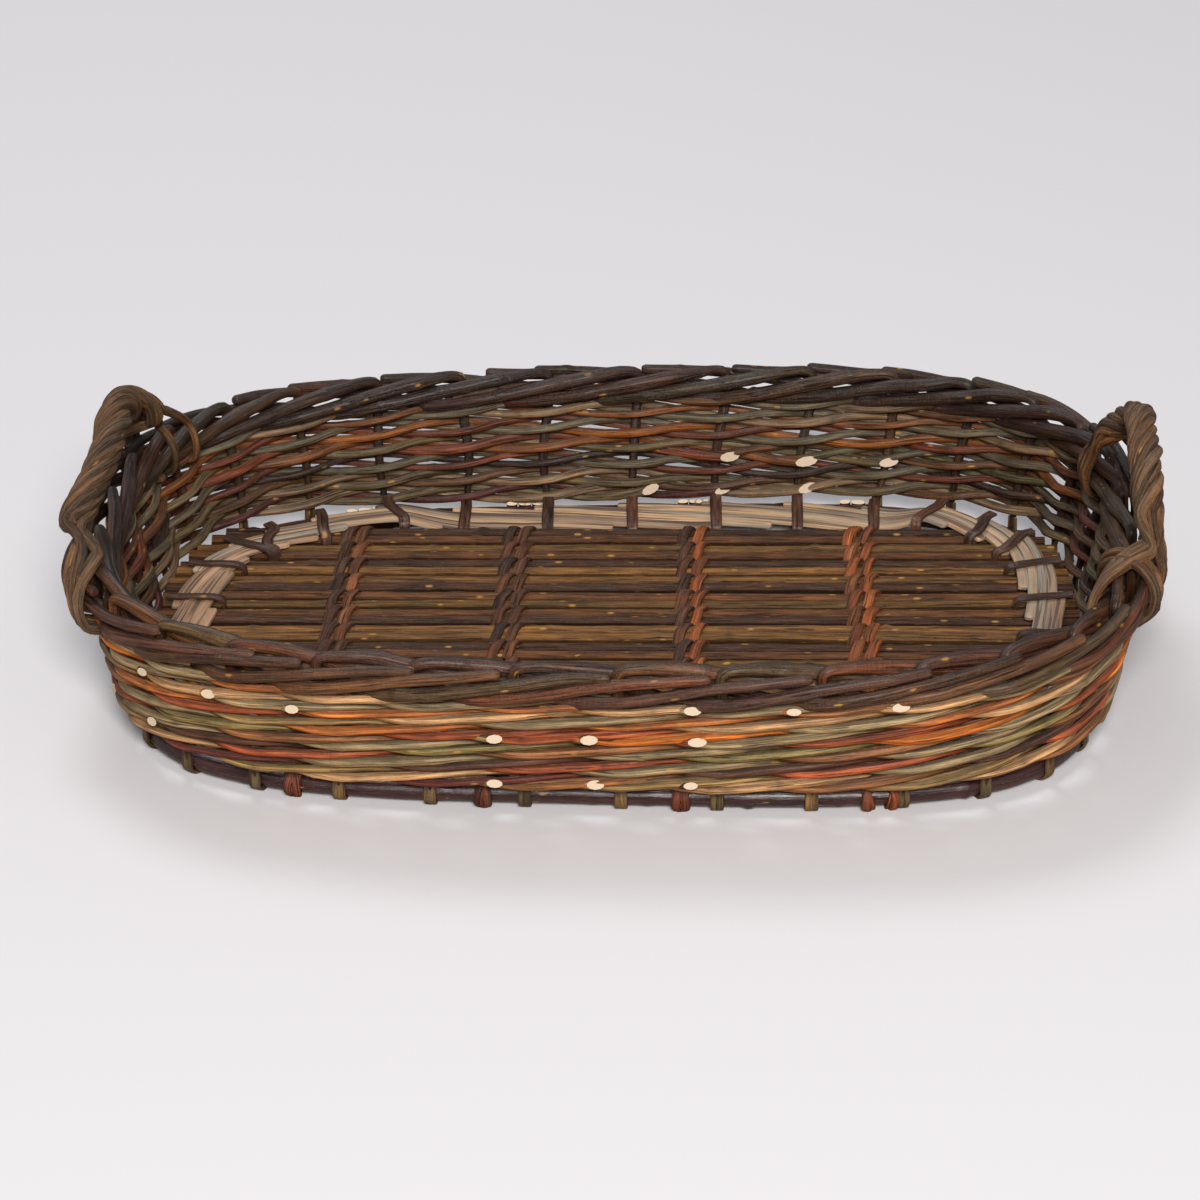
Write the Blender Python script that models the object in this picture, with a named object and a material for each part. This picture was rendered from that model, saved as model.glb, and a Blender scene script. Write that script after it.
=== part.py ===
"""Oval wicker serving tray: a hooped base of paired rods, waled walls, a rod border and two rope handles.

Metres, +Z up, long side along X, the floor at Z = 0. Stakes are counted anticlockwise from the middle
of the near side, and a place along a wall is a stake number that may have a fraction.
"""

import math

import bmesh
import bpy
import numpy as np
from mathutils import Vector

# Plan outlines, as superellipses that widen towards +X.
HOOP_HALF_LENGTH = 0.256
HOOP_HALF_WIDTH = 0.177
HOOP_SQUARENESS = 3.86
HOOP_WIDENING = 0.048
RIM_HALF_LENGTH = 0.280
RIM_HALF_WIDTH = 0.1995
RIM_SQUARENESS = 3.1
RIM_WIDENING = 0.061

# Clearance between pieces that touch.
CLEARANCE = 0.0003

# Stakes, each shaved to a strap below and bent into the border above.
STAKES = 34
FIRST_STAKE_X = 0.008
CORNER_CROWDING = 0.028
STAKE_SIDE = 0.0046
BORDER_SIDE = 0.0048
STAKE_TIP_SIDE = 0.0038
STRAP_WIDTH = 0.0065
STRAP_THICKNESS = 0.0016
TUCKED_STRAP_WIDTH = 0.0018

HOOP_DIAMETER = 0.010
HOOP_FACETS = 80

# Base rods lie in pairs along X, on top of the hoop.
ROD_PAIRS = 12
ROD_FIELD_MARGIN = 0.0474
ROD_PAIR_PITCH = 2 * (HOOP_HALF_WIDTH - ROD_FIELD_MARGIN) / ROD_PAIRS
ROD_PITCH_SHARE = 0.435
ROD_DIAMETER = ROD_PITCH_SHARE * ROD_PAIR_PITCH
ROD_OVERLAP = 0.0002
ROD_END_INSET = 0.0030

# The shaved ends of the stakes, laid side by side inside the hoop.
TAIL_STRIPS = 4
TAIL_STRIP_WIDTH = 0.0060
TAIL_THICKNESS = 0.0026
TAIL_SHINGLE = 0.0008
TAIL_SETBACK = 0.0060
TAIL_OUTER_HEIGHT = 0.0175
TAIL_INNER_HEIGHT = 0.0085
TAIL_RAMP_NEAR = 0.003
TAIL_RAMP_FAR = 0.011
TUCK_REACH = 0.0012

# Cross bands, each one strap folded at the far hoop and woven back beside itself.
# They are placed by the stake numbers that they pass on the near side and on the far side.
BAND_STAKES = ((30.65, 20.27), (32.63, 18.3), (0.68, 16.24), (2.61, 14.32))
BAND_STRAP_WIDTH = 0.0062
BAND_STRAP_THICKNESS = 0.0012
BAND_COLUMN_PITCH = 0.0072

# Three-rod waling: over two stakes and behind one, with a step up to the next round.
WALE_STRANDS = 3
WALE_ROUNDS = 5
WALE_START_STAKE = 16
WALE_STEP_STAKES = 4
STRAND_DIAMETER = 0.0046
STRAND_SLACK = 0.0009
STRAND_SAG_LIMIT = 0.0010

# Border, woven from the bent stakes around its own centreline.
BORDER_HEIGHT = 0.082
BORDER_HALF_WIDTH = 0.0078
BORDER_HALF_HEIGHT = 0.0070
WALE_TOP_DROP = 0.0137
STAKE_TOP_DROP = 0.0105

# Rope handles.
ROPE_DIAMETER = 0.0185
ROPE_FOOT_DIAMETER = 0.0105
ROPE_LOBES = 5
ROPE_GROOVE = 0.72
ROPE_TWIST_PITCH = 0.062
HANDLE_RISE = 0.0530
FOOT_DROP = 0.0045
LEFT_FEET = (26.75, 23.45)
RIGHT_FEET = (7.10, 10.30)
LEFT_TOP_OUT = -0.0050
RIGHT_TOP_OUT = 0.0060

# Path of a bent stake through the border: stakes onward, then width and height as shares of the halves.
BORDER_WEAVE = (
    (0.03, 0.00, 0.30),
    (0.16, -0.50, 0.93),
    (0.50, -0.93, 0.43),
    (1.00, -1.00, -0.43),
    (1.50, 0.00, -1.07),
    (2.00, 1.00, -0.64),
    (3.00, 1.00, 0.43),
    (3.80, 0.48, 1.08),
)

HOOP_HEIGHT = STRAP_THICKNESS + CLEARANCE + HOOP_DIAMETER / 2
STRAP_RUN = HOOP_DIAMETER / 2 + CLEARANCE + STRAP_THICKNESS / 2
ROD_SEAT = math.sqrt((HOOP_DIAMETER / 2) ** 2 - ROD_END_INSET**2)
ROD_HEIGHT = HOOP_HEIGHT + ROD_SEAT + CLEARANCE + ROD_DIAMETER / 2
ROD_TOP = ROD_HEIGHT + ROD_DIAMETER / 2
ROD_UNDERSIDE = ROD_HEIGHT - ROD_DIAMETER / 2
PAIR_WIDTH = 2 * ROD_DIAMETER - ROD_OVERLAP
FIELD_HALF_WIDTH = (ROD_PAIRS - 1) * ROD_PAIR_PITCH / 2 + PAIR_WIDTH / 2
TAIL_WIDTH = TAIL_STRIPS * TAIL_STRIP_WIDTH
TAIL_INNER = TAIL_SETBACK + TAIL_WIDTH
TAIL_STRAP_GAP = CLEARANCE + STRAP_THICKNESS / 2
TUCK_EDGE = -TAIL_INNER - TAIL_STRAP_GAP - TUCK_REACH
STAKE_FOOT_HEIGHT = HOOP_HEIGHT + HOOP_DIAMETER / 2 + STAKE_SIDE / 2
STAKE_TOP = BORDER_HEIGHT - STAKE_TOP_DROP
WALE_START_HEIGHT = HOOP_HEIGHT + (HOOP_DIAMETER + STRAND_DIAMETER) / 2 + CLEARANCE / 3
WALE_LAYERS = 2 * WALE_ROUNDS
STRAND_PITCH = (BORDER_HEIGHT - WALE_TOP_DROP - WALE_START_HEIGHT) / (WALE_LAYERS - 1)
ROUND_PITCH = 2 * STRAND_PITCH
STRAND_OFFSET = (STAKE_SIDE + STRAND_DIAMETER) / 2 + CLEARANCE + STRAND_SLACK

BARK_COLOURS = (
    (0.105, 0.070, 0.040),
    (0.085, 0.050, 0.035),
    (0.120, 0.085, 0.045),
    (0.075, 0.045, 0.045),
)
STRAND_COLOURS = (
    (0.300, 0.110, 0.030),
    (0.160, 0.120, 0.050),
    (0.120, 0.055, 0.045),
)
ROD_COLOURS = ((0.180, 0.120, 0.055), (0.120, 0.080, 0.050), (0.155, 0.085, 0.040))
BAND_COLOURS = ((0.080, 0.045, 0.028), (0.090, 0.050, 0.030), (0.190, 0.075, 0.030), (0.230, 0.090, 0.030))
HOOP_COLOUR = (0.075, 0.022, 0.020)
TAIL_COLOUR = (0.640, 0.500, 0.360)
ROPE_COLOUR = (0.110, 0.080, 0.055)


def material(name, colour, roughness):
    made = bpy.data.materials.new(name)
    made.use_nodes = True
    surface = made.node_tree.nodes["Principled BSDF"]
    surface.inputs["Base Color"].default_value = (*colour, 1.0)
    surface.inputs["Roughness"].default_value = roughness
    surface.inputs["Metallic"].default_value = 0.0
    made.diffuse_color = (*colour, 1.0)
    return made


def finish(piece, collection, parent, colour, roughness):
    collection.objects.link(piece)
    piece.parent = parent
    piece.data.materials.clear()
    piece.data.materials.append(material(piece.name + "_bark", colour, roughness))
    return piece


class Outline:
    """Closed plan outline, read by stake number."""

    def __init__(self, half_length, half_width, squareness, widening):
        angle = np.linspace(-math.pi / 2, 3 * math.pi / 2, 14401)
        power = 2 / squareness
        self.x = half_length * np.sign(np.cos(angle)) * np.abs(np.cos(angle)) ** power
        self.y = half_width * np.sign(np.sin(angle)) * np.abs(np.sin(angle)) ** power
        self.y *= 1 + widening * self.x / half_length
        along_x = np.diff(self.x)
        along_y = np.diff(self.y)
        heading = np.unwrap(np.arctan2(along_y, along_x))
        turn = np.abs(np.diff(heading, append=heading[0] + 2 * math.pi))
        self.measure = np.r_[0, np.cumsum(np.hypot(along_x, along_y) + CORNER_CROWDING * turn)]
        near_half = slice(0, len(angle) // 4)
        self.first = np.interp(FIRST_STAKE_X, self.x[near_half], self.measure[near_half])

    def point(self, stake):
        """Point of the outline and its outward normal."""
        whole = self.measure[-1]
        middle = (self.first + stake * whole / STAKES) % whole
        step = 0.0015
        x, y = (np.interp(middle, self.measure, line) for line in (self.x, self.y))
        ahead, behind = (
            Vector(
                [
                    np.interp((middle + side * step) % whole, self.measure, line)
                    for line in (self.x, self.y)
                ]
            )
            for side in (1, -1)
        )
        tangent = (ahead - behind).normalized()
        return Vector((x, y, 0)), Vector((tangent.y, -tangent.x, 0))

    def reach(self, y, side):
        """How far out along X the outline lies at this Y."""
        kept = self.x * side > 0.3 * np.abs(self.x).max()
        order = np.argsort(self.y[kept])
        return float(np.interp(y, self.y[kept][order], self.x[kept][order]))

    def stake_at(self, x, side):
        """Stake number at this X on the near or far side."""
        kept = self.y * side > 0.3 * np.abs(self.y).max()
        order = np.argsort(self.x[kept])
        along = float(np.interp(x, self.x[kept][order], self.measure[kept][order]))
        return (along - self.first) * STAKES / self.measure[-1]


hoop_line = Outline(HOOP_HALF_LENGTH, HOOP_HALF_WIDTH, HOOP_SQUARENESS, HOOP_WIDENING)
rim_line = Outline(RIM_HALF_LENGTH, RIM_HALF_WIDTH, RIM_SQUARENESS, RIM_WIDENING)


def by_hoop(stake, out, height):
    """Point beside the hoop's centreline."""
    point, normal = hoop_line.point(stake)
    return point + normal * out + Vector((0, 0, height))


def by_wall(stake, out, height):
    """Point beside the leaning line of the stakes."""
    foot, foot_normal = hoop_line.point(stake)
    head, head_normal = rim_line.point(stake)
    share = (height - STAKE_FOOT_HEIGHT) / (BORDER_HEIGHT - STAKE_FOOT_HEIGHT)
    middle = (foot + foot_normal * STRAP_RUN).lerp(head, share)
    normal = foot_normal.lerp(head_normal, min(max(share, 0), 1)).normalized()
    return middle + normal * out + Vector((0, 0, height))


def by_rim(stake, out, height):
    """Point beside the border's centreline."""
    point, normal = rim_line.point(stake)
    return point + normal * out + Vector((0, 0, BORDER_HEIGHT + height))


def loft(name, sections, closed=False):
    """Mesh object through sections of as many points each, capped unless it is a closed ring."""
    mesh = bmesh.new()
    rows = [[mesh.verts.new(point) for point in section] for section in sections]
    count = len(rows[0])
    pairs = list(zip(rows, rows[1:])) + ([(rows[-1], rows[0])] if closed else [])
    for first, second in pairs:
        for i in range(count):
            j = (i + 1) % count
            mesh.faces.new((first[i], first[j], second[j], second[i]))
    if not closed:
        mesh.faces.new(rows[0][::-1])
        mesh.faces.new(rows[-1])
    bmesh.ops.recalc_face_normals(mesh, faces=mesh.faces)
    data = bpy.data.meshes.new(name)
    mesh.to_mesh(data)
    mesh.free()
    data.shade_smooth()
    data.set_sharp_from_angle(angle=math.radians(50))
    return bpy.data.objects.new(name, data)


def sweep(name, path):
    """Body whose four-sided section follows a path of (point, width, thickness, direction of the width).

    Where a step gives no direction, the last one is carried on without a twist.
    """
    runs = [(b[0] - a[0]).normalized() for a, b in zip(path, path[1:])]
    sections = []
    for i, (point, width, thickness, given) in enumerate(path):
        before = runs[max(i - 1, 0)]
        after = runs[min(i, len(runs) - 1)]
        tangent = (before + after).normalized()
        mitre = 1 / max(tangent.dot(after), 0.75)
        across = given or (across - tangent * across.dot(tangent)).normalized()
        up = tangent.cross(across).normalized() * (thickness / 2 * mitre)
        side = across * (width / 2)
        sections.append([point - side - up, point + side - up, point + side + up, point - side + up])
    return loft(name, sections)


def tube(name, points, diameter, sides_setting, closed=False):
    """Curve object with a round bevel through the points."""
    data = bpy.data.curves.new(name, "CURVE")
    data.dimensions = "3D"
    data.bevel_depth = diameter / 2
    data.bevel_resolution = sides_setting
    data.use_fill_caps = not closed
    line = data.splines.new("POLY")
    line.points.add(len(points) - 1)
    for control, point in zip(line.points, points):
        control.co = (*point, 1.0)
    line.use_cyclic_u = closed
    line.use_smooth = True
    return bpy.data.objects.new(name, data)


def smooth_path(waypoints, steps):
    """Points of a Catmull-Rom curve through the waypoints."""
    ends = [2 * waypoints[0] - waypoints[1], *waypoints, 2 * waypoints[-1] - waypoints[-2]]
    made = []
    for a, b, c, d in zip(ends, ends[1:], ends[2:], ends[3:]):
        for i in range(steps):
            t = i / steps
            bend, twist = 2 * a - 5 * b + 4 * c - d, 3 * b - a - 3 * c + d
            made.append((2 * b + (c - a) * t + bend * t**2 + twist * t**3) / 2)
    made.append(waypoints[-1])
    return made


def tail_lift(stake):
    """Share by which the tails have climbed from beside the base rods to over them."""
    beside = abs(by_hoop(stake, -TAIL_INNER, 0).y) - FIELD_HALF_WIDTH
    share = min(max((TAIL_RAMP_FAR - beside) / (TAIL_RAMP_FAR - TAIL_RAMP_NEAR), 0), 1)
    return share * share * (3 - 2 * share)


def tail_underside(stake, share_inward):
    """Height of the tails' underside, from their outer edge at 0 to their inner edge at 1."""
    low = TAIL_OUTER_HEIGHT + (TAIL_INNER_HEIGHT - TAIL_OUTER_HEIGHT) * share_inward
    return low + (ROD_TOP + CLEARANCE - low) * tail_lift(stake)


def hoop_wrap(angle_step, run):
    """Corner of an octagon with flats this far from the hoop's centre, as (out, height)."""
    angle = math.radians(22.5 + 45 * angle_step)
    radius = run / math.cos(math.radians(22.5))
    return radius * math.cos(angle), HOOP_HEIGHT + radius * math.sin(angle)


def gap_between_pairs(stake):
    """Nearest place along the hoop where the tails' inner edge crosses a gap between rod pairs."""
    places = np.linspace(stake - 0.6, stake + 0.6, 241)
    across = np.array([by_hoop(place, TUCK_EDGE, 0).y for place in places]) / ROD_PAIR_PITCH
    gaps = np.clip(np.round(across), -ROD_PAIRS / 2, ROD_PAIRS / 2)
    miss = np.abs(across - gaps) + 0.02 * np.abs(places - stake)
    return float(places[miss.argmin()])


def stake_path(number):
    """Path of one stake: strap over the tails, under the hoop, up as an upright, and along the border."""
    along = hoop_line.point(number)[1].cross(Vector((0, 0, 1)))
    strap = (STRAP_WIDTH, STRAP_THICKNESS, along)
    over_rods = abs(by_hoop(number, TUCK_EDGE, 0).y) < FIELD_HALF_WIDTH + 0.75 * STRAP_WIDTH
    crossing = gap_between_pairs(number) if over_rods else number
    edge = TUCK_EDGE if over_rods else -TAIL_INNER - TAIL_STRAP_GAP
    outer_top = tail_underside(number, 0) + TAIL_THICKNESS + TAIL_STRAP_GAP
    inner_top = tail_underside(crossing, 1) + TAIL_THICKNESS + TAIL_STRAP_GAP
    inner_low = tail_underside(crossing, 1) - TAIL_STRAP_GAP
    path = [
        (by_hoop(number, -TAIL_SETBACK, outer_top), *strap),
        (by_hoop(crossing, edge, inner_top), *strap),
    ]
    if over_rods:
        tucked = (TUCKED_STRAP_WIDTH, STRAP_THICKNESS, along)
        path.append((by_hoop(crossing, edge, ROD_TOP), *tucked))
        path.append((by_hoop(crossing, edge, ROD_UNDERSIDE), *tucked))
        inner_low = ROD_UNDERSIDE - STRAP_WIDTH / 2
    path.append((by_hoop(crossing, edge, inner_low), *strap))
    for corner in (-3, -2, -1, 0):
        path.append((by_hoop(number, *hoop_wrap(corner, STRAP_RUN)), *strap))
    for height in (STAKE_FOOT_HEIGHT, STAKE_TOP):
        path.append((by_wall(number, 0, height), STAKE_SIDE, STAKE_SIDE, along))
    for onward, out, up in BORDER_WEAVE:
        side = BORDER_SIDE + (STAKE_TIP_SIDE - BORDER_SIDE) * onward / BORDER_WEAVE[-1][0]
        point = by_rim(number + onward, out * BORDER_HALF_WIDTH, up * BORDER_HALF_HEIGHT)
        path.append((point, side, side, None))
    return path


def tail_sections():
    """Sections of the ring of tails: strips shingled side by side, level under each strap."""
    sections = []
    under_strap = 0.75 * STRAP_WIDTH * STAKES / hoop_line.measure[-1]
    for stake in range(STAKES):
        for onward, level in ((-under_strap, 0), (under_strap, 0), (0.5, 0.5)):
            place, held = stake + onward, stake + level
            section = []
            for strip in range(TAIL_STRIPS):
                for edge, rise in ((strip, TAIL_THICKNESS), (strip + 1, TAIL_THICKNESS - TAIL_SHINGLE)):
                    out = -TAIL_SETBACK - edge * TAIL_STRIP_WIDTH
                    height = tail_underside(held, edge / TAIL_STRIPS) + rise
                    section.append(by_hoop(place, out, height))
            for share in (1, 0):
                section.append(by_hoop(place, -TAIL_SETBACK - share * TAIL_WIDTH, tail_underside(held, share)))
            sections.append(section)
    return sections


def base_rod(name, y):
    """One straight base rod as a mesh object, cut short of the wall at both ends."""
    ends = []
    for side in (-1, 1):
        reaches = [abs(hoop_line.reach(y + edge * ROD_DIAMETER / 2, side)) for edge in (-1, 1)]
        ends.append(side * (min(reaches) - ROD_END_INSET))
    rod = tube(name, [Vector((x, y, ROD_HEIGHT)) for x in ends], ROD_DIAMETER, 2)
    return as_mesh(rod)


def as_mesh(source):
    """Mesh copy of an object as evaluated, welded shut; the source is removed."""
    scene = bpy.context.scene
    scene.collection.objects.link(source)
    graph = bpy.context.evaluated_depsgraph_get()
    data = bpy.data.meshes.new_from_object(source.evaluated_get(graph))
    mesh = bmesh.new()
    mesh.from_mesh(data)
    bmesh.ops.remove_doubles(mesh, verts=mesh.verts, dist=0.000001)
    bmesh.ops.recalc_face_normals(mesh, faces=mesh.faces)
    mesh.to_mesh(data)
    mesh.free()
    name = source.name
    bpy.data.objects.remove(source)
    return bpy.data.objects.new(name, data)


def united(name, first, second):
    """One body from two mesh objects that overlap."""
    scene = bpy.context.scene
    scene.collection.objects.link(second)
    joint = first.modifiers.new("join", "BOOLEAN")
    joint.operation = "UNION"
    joint.object = second
    whole = as_mesh(first)
    bpy.data.objects.remove(second)
    whole.name = name
    whole.data.name = name
    whole.data.shade_smooth()
    whole.data.set_sharp_from_angle(angle=math.radians(50))
    return whole


def rod_pair(number):
    middle = (number - (ROD_PAIRS - 1) / 2) * ROD_PAIR_PITCH
    spread = (ROD_DIAMETER - ROD_OVERLAP) / 2
    name = f"base_rod_pair_{number + 1:02d}"
    return united(name, base_rod(name, middle - spread), base_rod(name + "_b", middle + spread))


def band_column(x, first_over):
    """Woven run of a band from the near side to the far side, as (x, y, z) points."""
    over = ROD_TOP + CLEARANCE + BAND_STRAP_THICKNESS / 2
    under = ROD_UNDERSIDE - CLEARANCE - BAND_STRAP_THICKNESS / 2
    points = []
    height = under if first_over else over
    for gap in range(ROD_PAIRS + 1):
        y = (gap - ROD_PAIRS / 2) * ROD_PAIR_PITCH
        height, last = (over if height == under else under), height
        if gap == 0:
            last = under
        if gap == ROD_PAIRS:
            height = under
        points += [Vector((x, y, last))] if last == height else [Vector((x, y, last)), Vector((x, y, height))]
    return points


def band_path(x):
    """Path of one cross band, folded round the far hoop, with both ends round the near hoop."""
    run = HOOP_DIAMETER / 2 + CLEARANCE + BAND_STRAP_THICKNESS / 2
    below_tails = TAIL_INNER_HEIGHT - CLEARANCE - BAND_STRAP_THICKNESS
    points = []
    for column in (-1, 1):
        at = x + column * BAND_COLUMN_PITCH / 2
        near = hoop_line.stake_at(at, -1)
        near_end = [by_hoop(near, *hoop_wrap(corner, run)) for corner in (-3, -2, -1, 0, 1, 2)]
        near_end.append(by_hoop(near, -TAIL_INNER, below_tails))
        woven = near_end + band_column(at, column < 0)
        woven.append(by_hoop(hoop_line.stake_at(at, 1), -TAIL_INNER, below_tails))
        points += woven[::-column]
        if column < 0:
            for i, corner in enumerate((2, 1, 0, -1, -2, -3)):
                fold = hoop_line.stake_at(x + (i / 5 - 0.5) * BAND_COLUMN_PITCH, 1)
                points.append(by_hoop(fold, *hoop_wrap(corner, run)))
    made = []
    for point in points:
        nearest = hoop_line.stake_at(point.x, math.copysign(1, point.y))
        across = Vector((1, 0, 0))
        if abs(point.y) > FIELD_HALF_WIDTH + ROD_DIAMETER:
            normal = hoop_line.point(nearest)[1]
            across = Vector((abs(normal.y), -normal.x * math.copysign(1, normal.y), 0))
        made.append((point, BAND_STRAP_WIDTH, BAND_STRAP_THICKNESS, across))
    return made


def round_height(place):
    """Height of a round's lowest layer at this place counted from the start, with its step up."""
    turns, rest = divmod(place, STAKES)
    share = min(max((rest - STAKES + WALE_STEP_STAKES) / WALE_STEP_STAKES, 0), 1)
    return WALE_START_HEIGHT + ROUND_PITCH * (turns + share * share * (3 - 2 * share))


def strand_point(place, out, layers):
    height = round_height(place) + layers * STRAND_PITCH
    return by_wall(WALE_START_STAKE + place, out * STRAND_OFFSET, height)


def strand_points(strand, first_round, last_round):
    """One wale strand through whole rounds: before two stakes, behind one."""
    begin = strand + 0.5
    cut = CLEARANCE / 0.04
    last_step = WALE_STEP_STAKES if last_round == WALE_ROUNDS else 0
    start = begin + first_round * STAKES // WALE_STRANDS * WALE_STRANDS
    stop = begin + (last_round * STAKES - last_step) // WALE_STRANDS * WALE_STRANDS
    points = [strand_point(start + cut, 1, 0.5)]
    for stake in range(math.ceil(start), math.ceil(stop)):
        role = (stake - strand) % WALE_STRANDS
        out, layers = ((1, 0), (1, 1), (-1, 0.5))[role]
        points.append(strand_point(stake, out, layers))
        if stake + 0.5 >= stop:
            break
        if role == 0:
            ends = [strand_point(stake + i, 1, i) for i in (0, 1)]
            middle = strand_point(stake + 0.5, 1, 0.5)
            if (middle - (ends[0] + ends[1]) / 2).length > STRAND_SAG_LIMIT:
                points.append(middle)
        else:
            points.append(strand_point(stake + 0.5, 0, 1 if role == 1 else 0))
    points.append(strand_point(stop - cut, 1, 0.5))
    return points


def rope_profile():
    """Lobed section of a twisted rope, as a flat closed curve."""
    data = bpy.data.curves.new("rope_section", "CURVE")
    data.dimensions = "2D"
    line = data.splines.new("POLY")
    line.points.add(2 * ROPE_LOBES - 1)
    for i, control in enumerate(line.points):
        angle = math.pi * i / ROPE_LOBES
        radius = ROPE_DIAMETER / 2 * (1 if i % 2 == 0 else ROPE_GROOVE)
        control.co = (radius * math.cos(angle), radius * math.sin(angle), 0, 1)
    line.use_cyclic_u = True
    profile = bpy.data.objects.new("rope_section", data)
    profile.hide_render = True
    profile.display_type = "WIRE"
    return profile


def handle(name, feet, top, profile):
    """Rope handle: front foot outside the border, back foot inside it, and its top this far out."""
    front, back = feet
    outside = BORDER_HALF_WIDTH + BORDER_SIDE / 2 + CLEARANCE + ROPE_FOOT_DIAMETER / 2
    swell = (ROPE_DIAMETER - ROPE_FOOT_DIAMETER) / 2
    inside = -outside - swell
    curve = (
        (0.00, outside, -FOOT_DROP / HANDLE_RISE),
        (0.00, outside, 0.20),
        (0.12, outside - 0.3 * swell, 0.50),
        (0.27, (outside + 2 * top) / 3, 0.78),
        (0.42, top, 0.93),
        (0.57, top, 1.00),
        (0.73, top, 0.90),
        (0.88, (2 * inside + top) / 3, 0.58),
        (1.00, inside + 0.7 * swell, 0.20),
        (1.00, inside + swell, -FOOT_DROP / HANDLE_RISE),
    )
    span = back - front
    waypoints = [by_rim(front + span * along, out, rise * HANDLE_RISE) for along, out, rise in curve]
    points = smooth_path(waypoints, 3)
    rope = tube(name, points, ROPE_DIAMETER, 0)
    rope.data.bevel_mode = "OBJECT"
    rope.data.bevel_object = profile
    foot_share = ROPE_FOOT_DIAMETER / ROPE_DIAMETER
    length = 0.0
    for i, control in enumerate(rope.data.splines[0].points):
        if i:
            length += (points[i] - points[i - 1]).length
        control.tilt = 2 * math.pi * length / ROPE_TWIST_PITCH
        swollen = (control.co.z - BORDER_HEIGHT) / (0.58 * HANDLE_RISE)
        control.radius = foot_share + (1 - foot_share) * min(max(swollen, 0), 1)
    return as_mesh(rope)


def build():
    for old in list(bpy.data.objects):
        bpy.data.objects.remove(old)
    tray = bpy.data.collections.new("wicker_serving_tray")
    guides = bpy.data.collections.new("guides")
    for collection in (tray, guides):
        bpy.context.scene.collection.children.link(collection)
    root = bpy.data.objects.new("tray_root", None)
    tray.objects.link(root)

    hoop = [by_hoop(STAKES * facet / HOOP_FACETS, 0, HOOP_HEIGHT) for facet in range(HOOP_FACETS)]
    finish(tube("frame_hoop", hoop, HOOP_DIAMETER, 1, closed=True), tray, root, HOOP_COLOUR, 0.35)
    for number in range(STAKES):
        stake = sweep(f"stake_{number + 1:02d}", stake_path(number))
        finish(stake, tray, root, BARK_COLOURS[number % len(BARK_COLOURS)], 0.6)
    finish(loft("shaved_tail_ring", tail_sections(), closed=True), tray, root, TAIL_COLOUR, 0.7)
    for number in range(ROD_PAIRS):
        finish(rod_pair(number), tray, root, ROD_COLOURS[number % len(ROD_COLOURS)], 0.55)
    for number, stakes in enumerate(BAND_STAKES):
        x = sum(hoop_line.point(stake)[0].x for stake in stakes) / len(stakes)
        band = sweep(f"cross_band_{number + 1}", band_path(x))
        finish(band, tray, root, BAND_COLOURS[number], 0.6)
    half = (WALE_ROUNDS + 1) // 2
    for strand in range(WALE_STRANDS):
        for level, first, last in (("lower", 0, half), ("upper", half, WALE_ROUNDS)):
            name = f"{level}_wale_strand_{strand + 1}"
            rod = tube(name, strand_points(strand, first, last), STRAND_DIAMETER, 0)
            finish(rod, tray, root, STRAND_COLOURS[strand], 0.5)
    profile = rope_profile()
    guides.objects.link(profile)
    for side, feet, top in (("left", LEFT_FEET, LEFT_TOP_OUT), ("right", RIGHT_FEET, RIGHT_TOP_OUT)):
        finish(handle(f"{side}_rope_handle", feet, top, profile), tray, root, ROPE_COLOUR, 0.65)


build()
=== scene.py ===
"""Wicker serving tray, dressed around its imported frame.

Every willow rod, strap and rope strand is a piece of its own. Metres, +Z up, the tray's long side along X.
Stakes are counted anticlockwise from the middle of the near side, starting at 0, and a place along a wall
is a stake number that may have a fraction.
"""

import math
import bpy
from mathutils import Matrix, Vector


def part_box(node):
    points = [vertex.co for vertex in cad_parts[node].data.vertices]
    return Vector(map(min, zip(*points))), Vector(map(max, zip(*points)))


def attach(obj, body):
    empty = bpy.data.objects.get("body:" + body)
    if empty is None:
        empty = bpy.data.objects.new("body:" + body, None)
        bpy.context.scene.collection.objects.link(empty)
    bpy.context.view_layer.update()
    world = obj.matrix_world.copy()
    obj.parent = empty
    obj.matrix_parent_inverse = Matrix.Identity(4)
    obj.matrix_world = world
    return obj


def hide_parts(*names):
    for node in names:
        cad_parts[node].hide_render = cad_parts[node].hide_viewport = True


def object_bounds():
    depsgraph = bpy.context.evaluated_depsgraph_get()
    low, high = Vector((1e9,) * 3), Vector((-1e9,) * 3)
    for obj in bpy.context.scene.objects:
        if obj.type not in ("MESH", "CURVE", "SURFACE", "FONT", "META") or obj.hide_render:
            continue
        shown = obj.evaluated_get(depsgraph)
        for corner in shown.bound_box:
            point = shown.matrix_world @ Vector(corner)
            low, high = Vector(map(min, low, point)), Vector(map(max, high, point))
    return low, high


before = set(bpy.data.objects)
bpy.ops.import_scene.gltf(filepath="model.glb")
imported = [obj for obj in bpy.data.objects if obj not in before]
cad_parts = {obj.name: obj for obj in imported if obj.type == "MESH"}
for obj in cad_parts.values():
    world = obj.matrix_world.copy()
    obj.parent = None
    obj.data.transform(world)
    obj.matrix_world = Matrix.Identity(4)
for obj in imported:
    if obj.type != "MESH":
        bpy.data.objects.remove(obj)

import zlib

import bpy
import numpy as np
from mathutils import Matrix, Vector

CAD_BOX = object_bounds()

# Plan outlines, superellipses that widen towards +X: half length, half width, squareness and widening.
HOOP_OUTLINE = (0.256, 0.177, 3.86, 0.048)
RIM_OUTLINE = (0.28, 0.1995, 3.1, 0.061)
STAKES = 34
FIRST_STAKE_X = 0.008
CORNER_CROWDING = 0.028

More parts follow.
